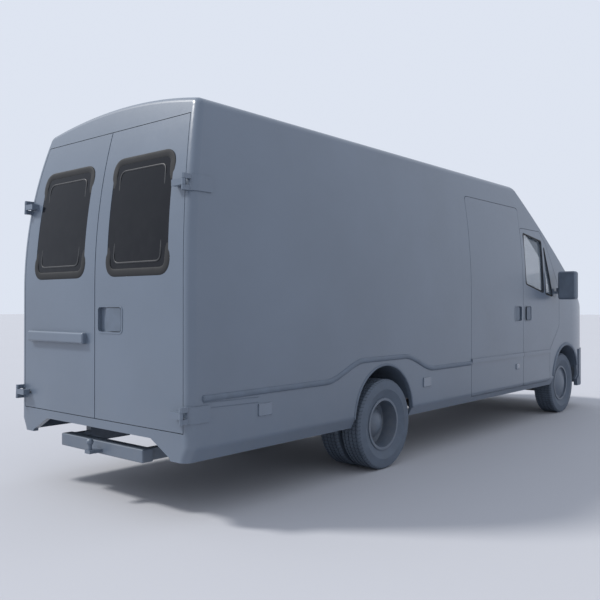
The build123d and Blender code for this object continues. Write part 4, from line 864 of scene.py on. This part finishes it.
def puffed(obj: bpy.types.Object, cap: float) -> None:
    """Swell a closed cushion with cloth pressure and keep the result in its mesh.

    The shape is remeshed, run to the last frame with gravity off, and no point moves further than the cap.
    """
    remesh = obj.modifiers.new("remesh", "REMESH")
    remesh.mode, remesh.voxel_size = "VOXEL", VOXEL
    bpy.context.view_layer.objects.active = obj
    obj.select_set(True)
    bpy.ops.object.modifier_apply(modifier=remesh.name)
    count = len(obj.data.vertices)
    before = np.empty(count * 3)
    obj.data.vertices.foreach_get("co", before)
    cloth = obj.modifiers.new("cloth", "CLOTH")
    cloth.settings.use_pressure = True
    cloth.settings.uniform_pressure_force = PRESSURE
    cloth.settings.quality = CLOTH_QUALITY
    cloth.settings.effector_weights.gravity = 0.0
    scene = bpy.context.scene
    for number in range(1, LAST_FRAME + 1):
        scene.frame_set(number)
    evaluated = obj.evaluated_get(bpy.context.evaluated_depsgraph_get()).to_mesh()
    after = np.empty(count * 3)
    evaluated.vertices.foreach_get("co", after)
    obj.modifiers.remove(cloth)
    scene.frame_set(1)
    move = (after - before).reshape(-1, 3)
    length = np.linalg.norm(move, axis=1, keepdims=True)
    move *= np.minimum(1.0, cap / np.maximum(length, 1e-9))
    obj.data.vertices.foreach_set("co", (before.reshape(-1, 3) + move).ravel())
    obj.data.polygons.foreach_set("use_smooth", np.ones(len(obj.data.polygons), bool))
    obj.select_set(False)


@dataclass
class Seats:
    """Driver's seat and passenger bench: cushions, backrests, headrests and their piping."""

    finishes: Finishes
    back_x: float = FRONT_AXLE - 1.09
    base_z: float = 0.94
    spans: tuple[tuple[float, float], ...] = ((0.175, 0.665), (-0.850, -0.100))
    place_width: float = 0.45
    rest_half: float = 0.129
    post_offset: float = 0.05

    def middles(self, low: float, high: float) -> list[float]:
        """Middle of each sitting place between two Y values."""
        places = max(1, round((high - low) / self.place_width))
        pitch = (high - low) / places
        return [low + pitch * (place + 0.5) for place in range(places)]

    def cushions(self) -> dict[str, Cushion]:
        """Every padded block by its name."""
        x, z = self.back_x, self.base_z
        made = {}
        for index, (low, high) in enumerate(self.spans):
            base = (x + 0.142, low, z + 0.001), (x + 0.578, high, z + 0.119)
            back = (x + 0.032, low, z + 0.001), (x + 0.136, high, z + 0.638)
            made[f"seat_base_{index}"] = Cushion(*base)
            made[f"seat_back_{index}"] = Cushion(*back)
            for place, middle in enumerate(self.middles(low, high)):
                rest_low = (x + 0.036, middle - self.rest_half, z + 0.651)
                rest_high = (x + 0.124, middle + self.rest_half, z + 0.829)
                made[f"headrest_{index}_{place}"] = Cushion(rest_low, rest_high, 0.008)
        return made

    def posts(self) -> list[Part]:
        """Bright posts of the headrests."""
        profile = np.array([(0.0, 0.0), (0.007, 0.0), (0.007, 0.03), (0.0, 0.03)])
        up = np.array([0.0, 0.0, 1.0])
        made = []
        for low, high in self.spans:
            for middle in self.middles(low, high):
                for offset in (-self.post_offset, self.post_offset):
                    foot = np.array([self.back_x + 0.08, middle + offset, self.base_z + 0.633])
                    made.append(lathe(profile, foot, up, 16))
        return made

    def build(self) -> None:
        """Pads, their piping, and the posts, in place of the plain CAD solids."""
        first = None
        for name, cushion in self.cushions().items():
            pad = piece(name, [cushion.shape()], self.finishes["seat_cloth"], "chassis")
            puffed(pad, cushion.crown)
            axis = 2 if "base" in name else 0
            piece(f"{name}_piping", [cushion.piping(0.80, axis), cushion.piping(0.22, axis)],
                  self.finishes["seal"], "chassis")
            first = first or pad
        piece("headrest_posts", self.posts(), self.finishes["steel"], "chassis")
        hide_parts("seat_cushions")


@dataclass
class Studio:
    """Pale floor, soft sky, one sun from the vehicle's left and rear, and the camera."""

    eye: tuple[float, float, float] = (REAR_AXLE - 5.023, -4.362, 1.372)
    yaw: float = 40.50
    pitch: float = 0.336
    lens: float = 43.1
    floor_size: float = 90.0
    floor_tones: tuple[Colour, Colour] = ((0.455, 0.462, 0.492), (0.475, 0.482, 0.512))
    sky: Colour = (0.73, 0.78, 0.88)
    sun_power: float = 2.6
    sun_degrees: float = 9.0
    sun_colour: Colour = (1.0, 0.98, 0.95)
    sun_aim: tuple[float, float, float] = (0.42, -0.55, -0.72)

    def floor(self) -> None:
        """Plain pale floor with a faint tone, not part of the van."""
        size = self.floor_size
        mesh = bpy.data.meshes.new("floor")
        corners = [(-size, -size, 0), (size, -size, 0), (size, size, 0), (-size, size, 0)]
        mesh.from_pydata(corners, [], [(0, 1, 2, 3)])
        ground = bpy.data.objects.new("floor", mesh)
        bpy.context.scene.collection.objects.link(ground)
        make = Shader("studio_floor")
        tone = make.noise(0.35, 3.0)
        make.feed(Base_Color=make.mixed(tone, *self.floor_tones), Roughness=0.9)
        mesh.materials.append(make.material)
        ground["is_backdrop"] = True

    def lights(self) -> None:
        """Soft sky from all round and a sun from high on the left."""
        world = bpy.data.worlds.new("studio")
        bpy.context.scene.world = world
        world.use_nodes = True
        background = world.node_tree.nodes["Background"]
        background.inputs["Color"].default_value = (*self.sky, 1.0)
        background.inputs["Strength"].default_value = 1.0
        sun = bpy.data.lights.new("sun", "SUN")
        sun.energy, sun.angle, sun.color = self.sun_power, math.radians(self.sun_degrees), self.sun_colour
        lamp = bpy.data.objects.new("sun", sun)
        lamp.rotation_euler = Vector(self.sun_aim).to_track_quat("-Z", "Y").to_euler()
        bpy.context.scene.collection.objects.link(lamp)

    def camera(self) -> None:
        """Camera behind and to the right of the van, near eye height."""
        yaw, pitch = math.radians(self.yaw), math.radians(self.pitch)
        level = math.cos(pitch)
        forward = Vector((math.cos(yaw) * level, math.sin(yaw) * level, math.sin(pitch)))
        data = bpy.data.cameras.new("camera")
        data.lens, data.sensor_width, data.clip_end = self.lens, 36.0, 500.0
        view = bpy.data.objects.new("camera", data)
        view.location = self.eye
        view.rotation_euler = forward.to_track_quat("-Z", "Y").to_euler()
        bpy.context.scene.collection.objects.link(view)
        bpy.context.scene.camera = view

    def build(self) -> None:
        """Floor, lights and camera, with a plain view transform."""
        self.floor()
        self.lights()
        self.camera()
        bpy.context.scene.view_settings.view_transform = "Standard"


def main() -> None:
    """Build the stage and every sub-assembly in order, and report the pieces."""
    logging.basicConfig(level=logging.INFO)
    finishes = Finishes()
    finishes.dress_nodes()
    assemblies = (
        Studio(), RearGlazing(finishes), CabGlazing(finishes), Wipers(finishes), Mouldings(finishes),
        BodyDetails(finishes), Seats(finishes),
    )
    for assembly in assemblies:
        assembly.build()
        LOG.info("built %s", type(assembly).__name__)
    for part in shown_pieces():
        LOG.info("piece %s", part.name)


if __name__ == "__main__":
    main()
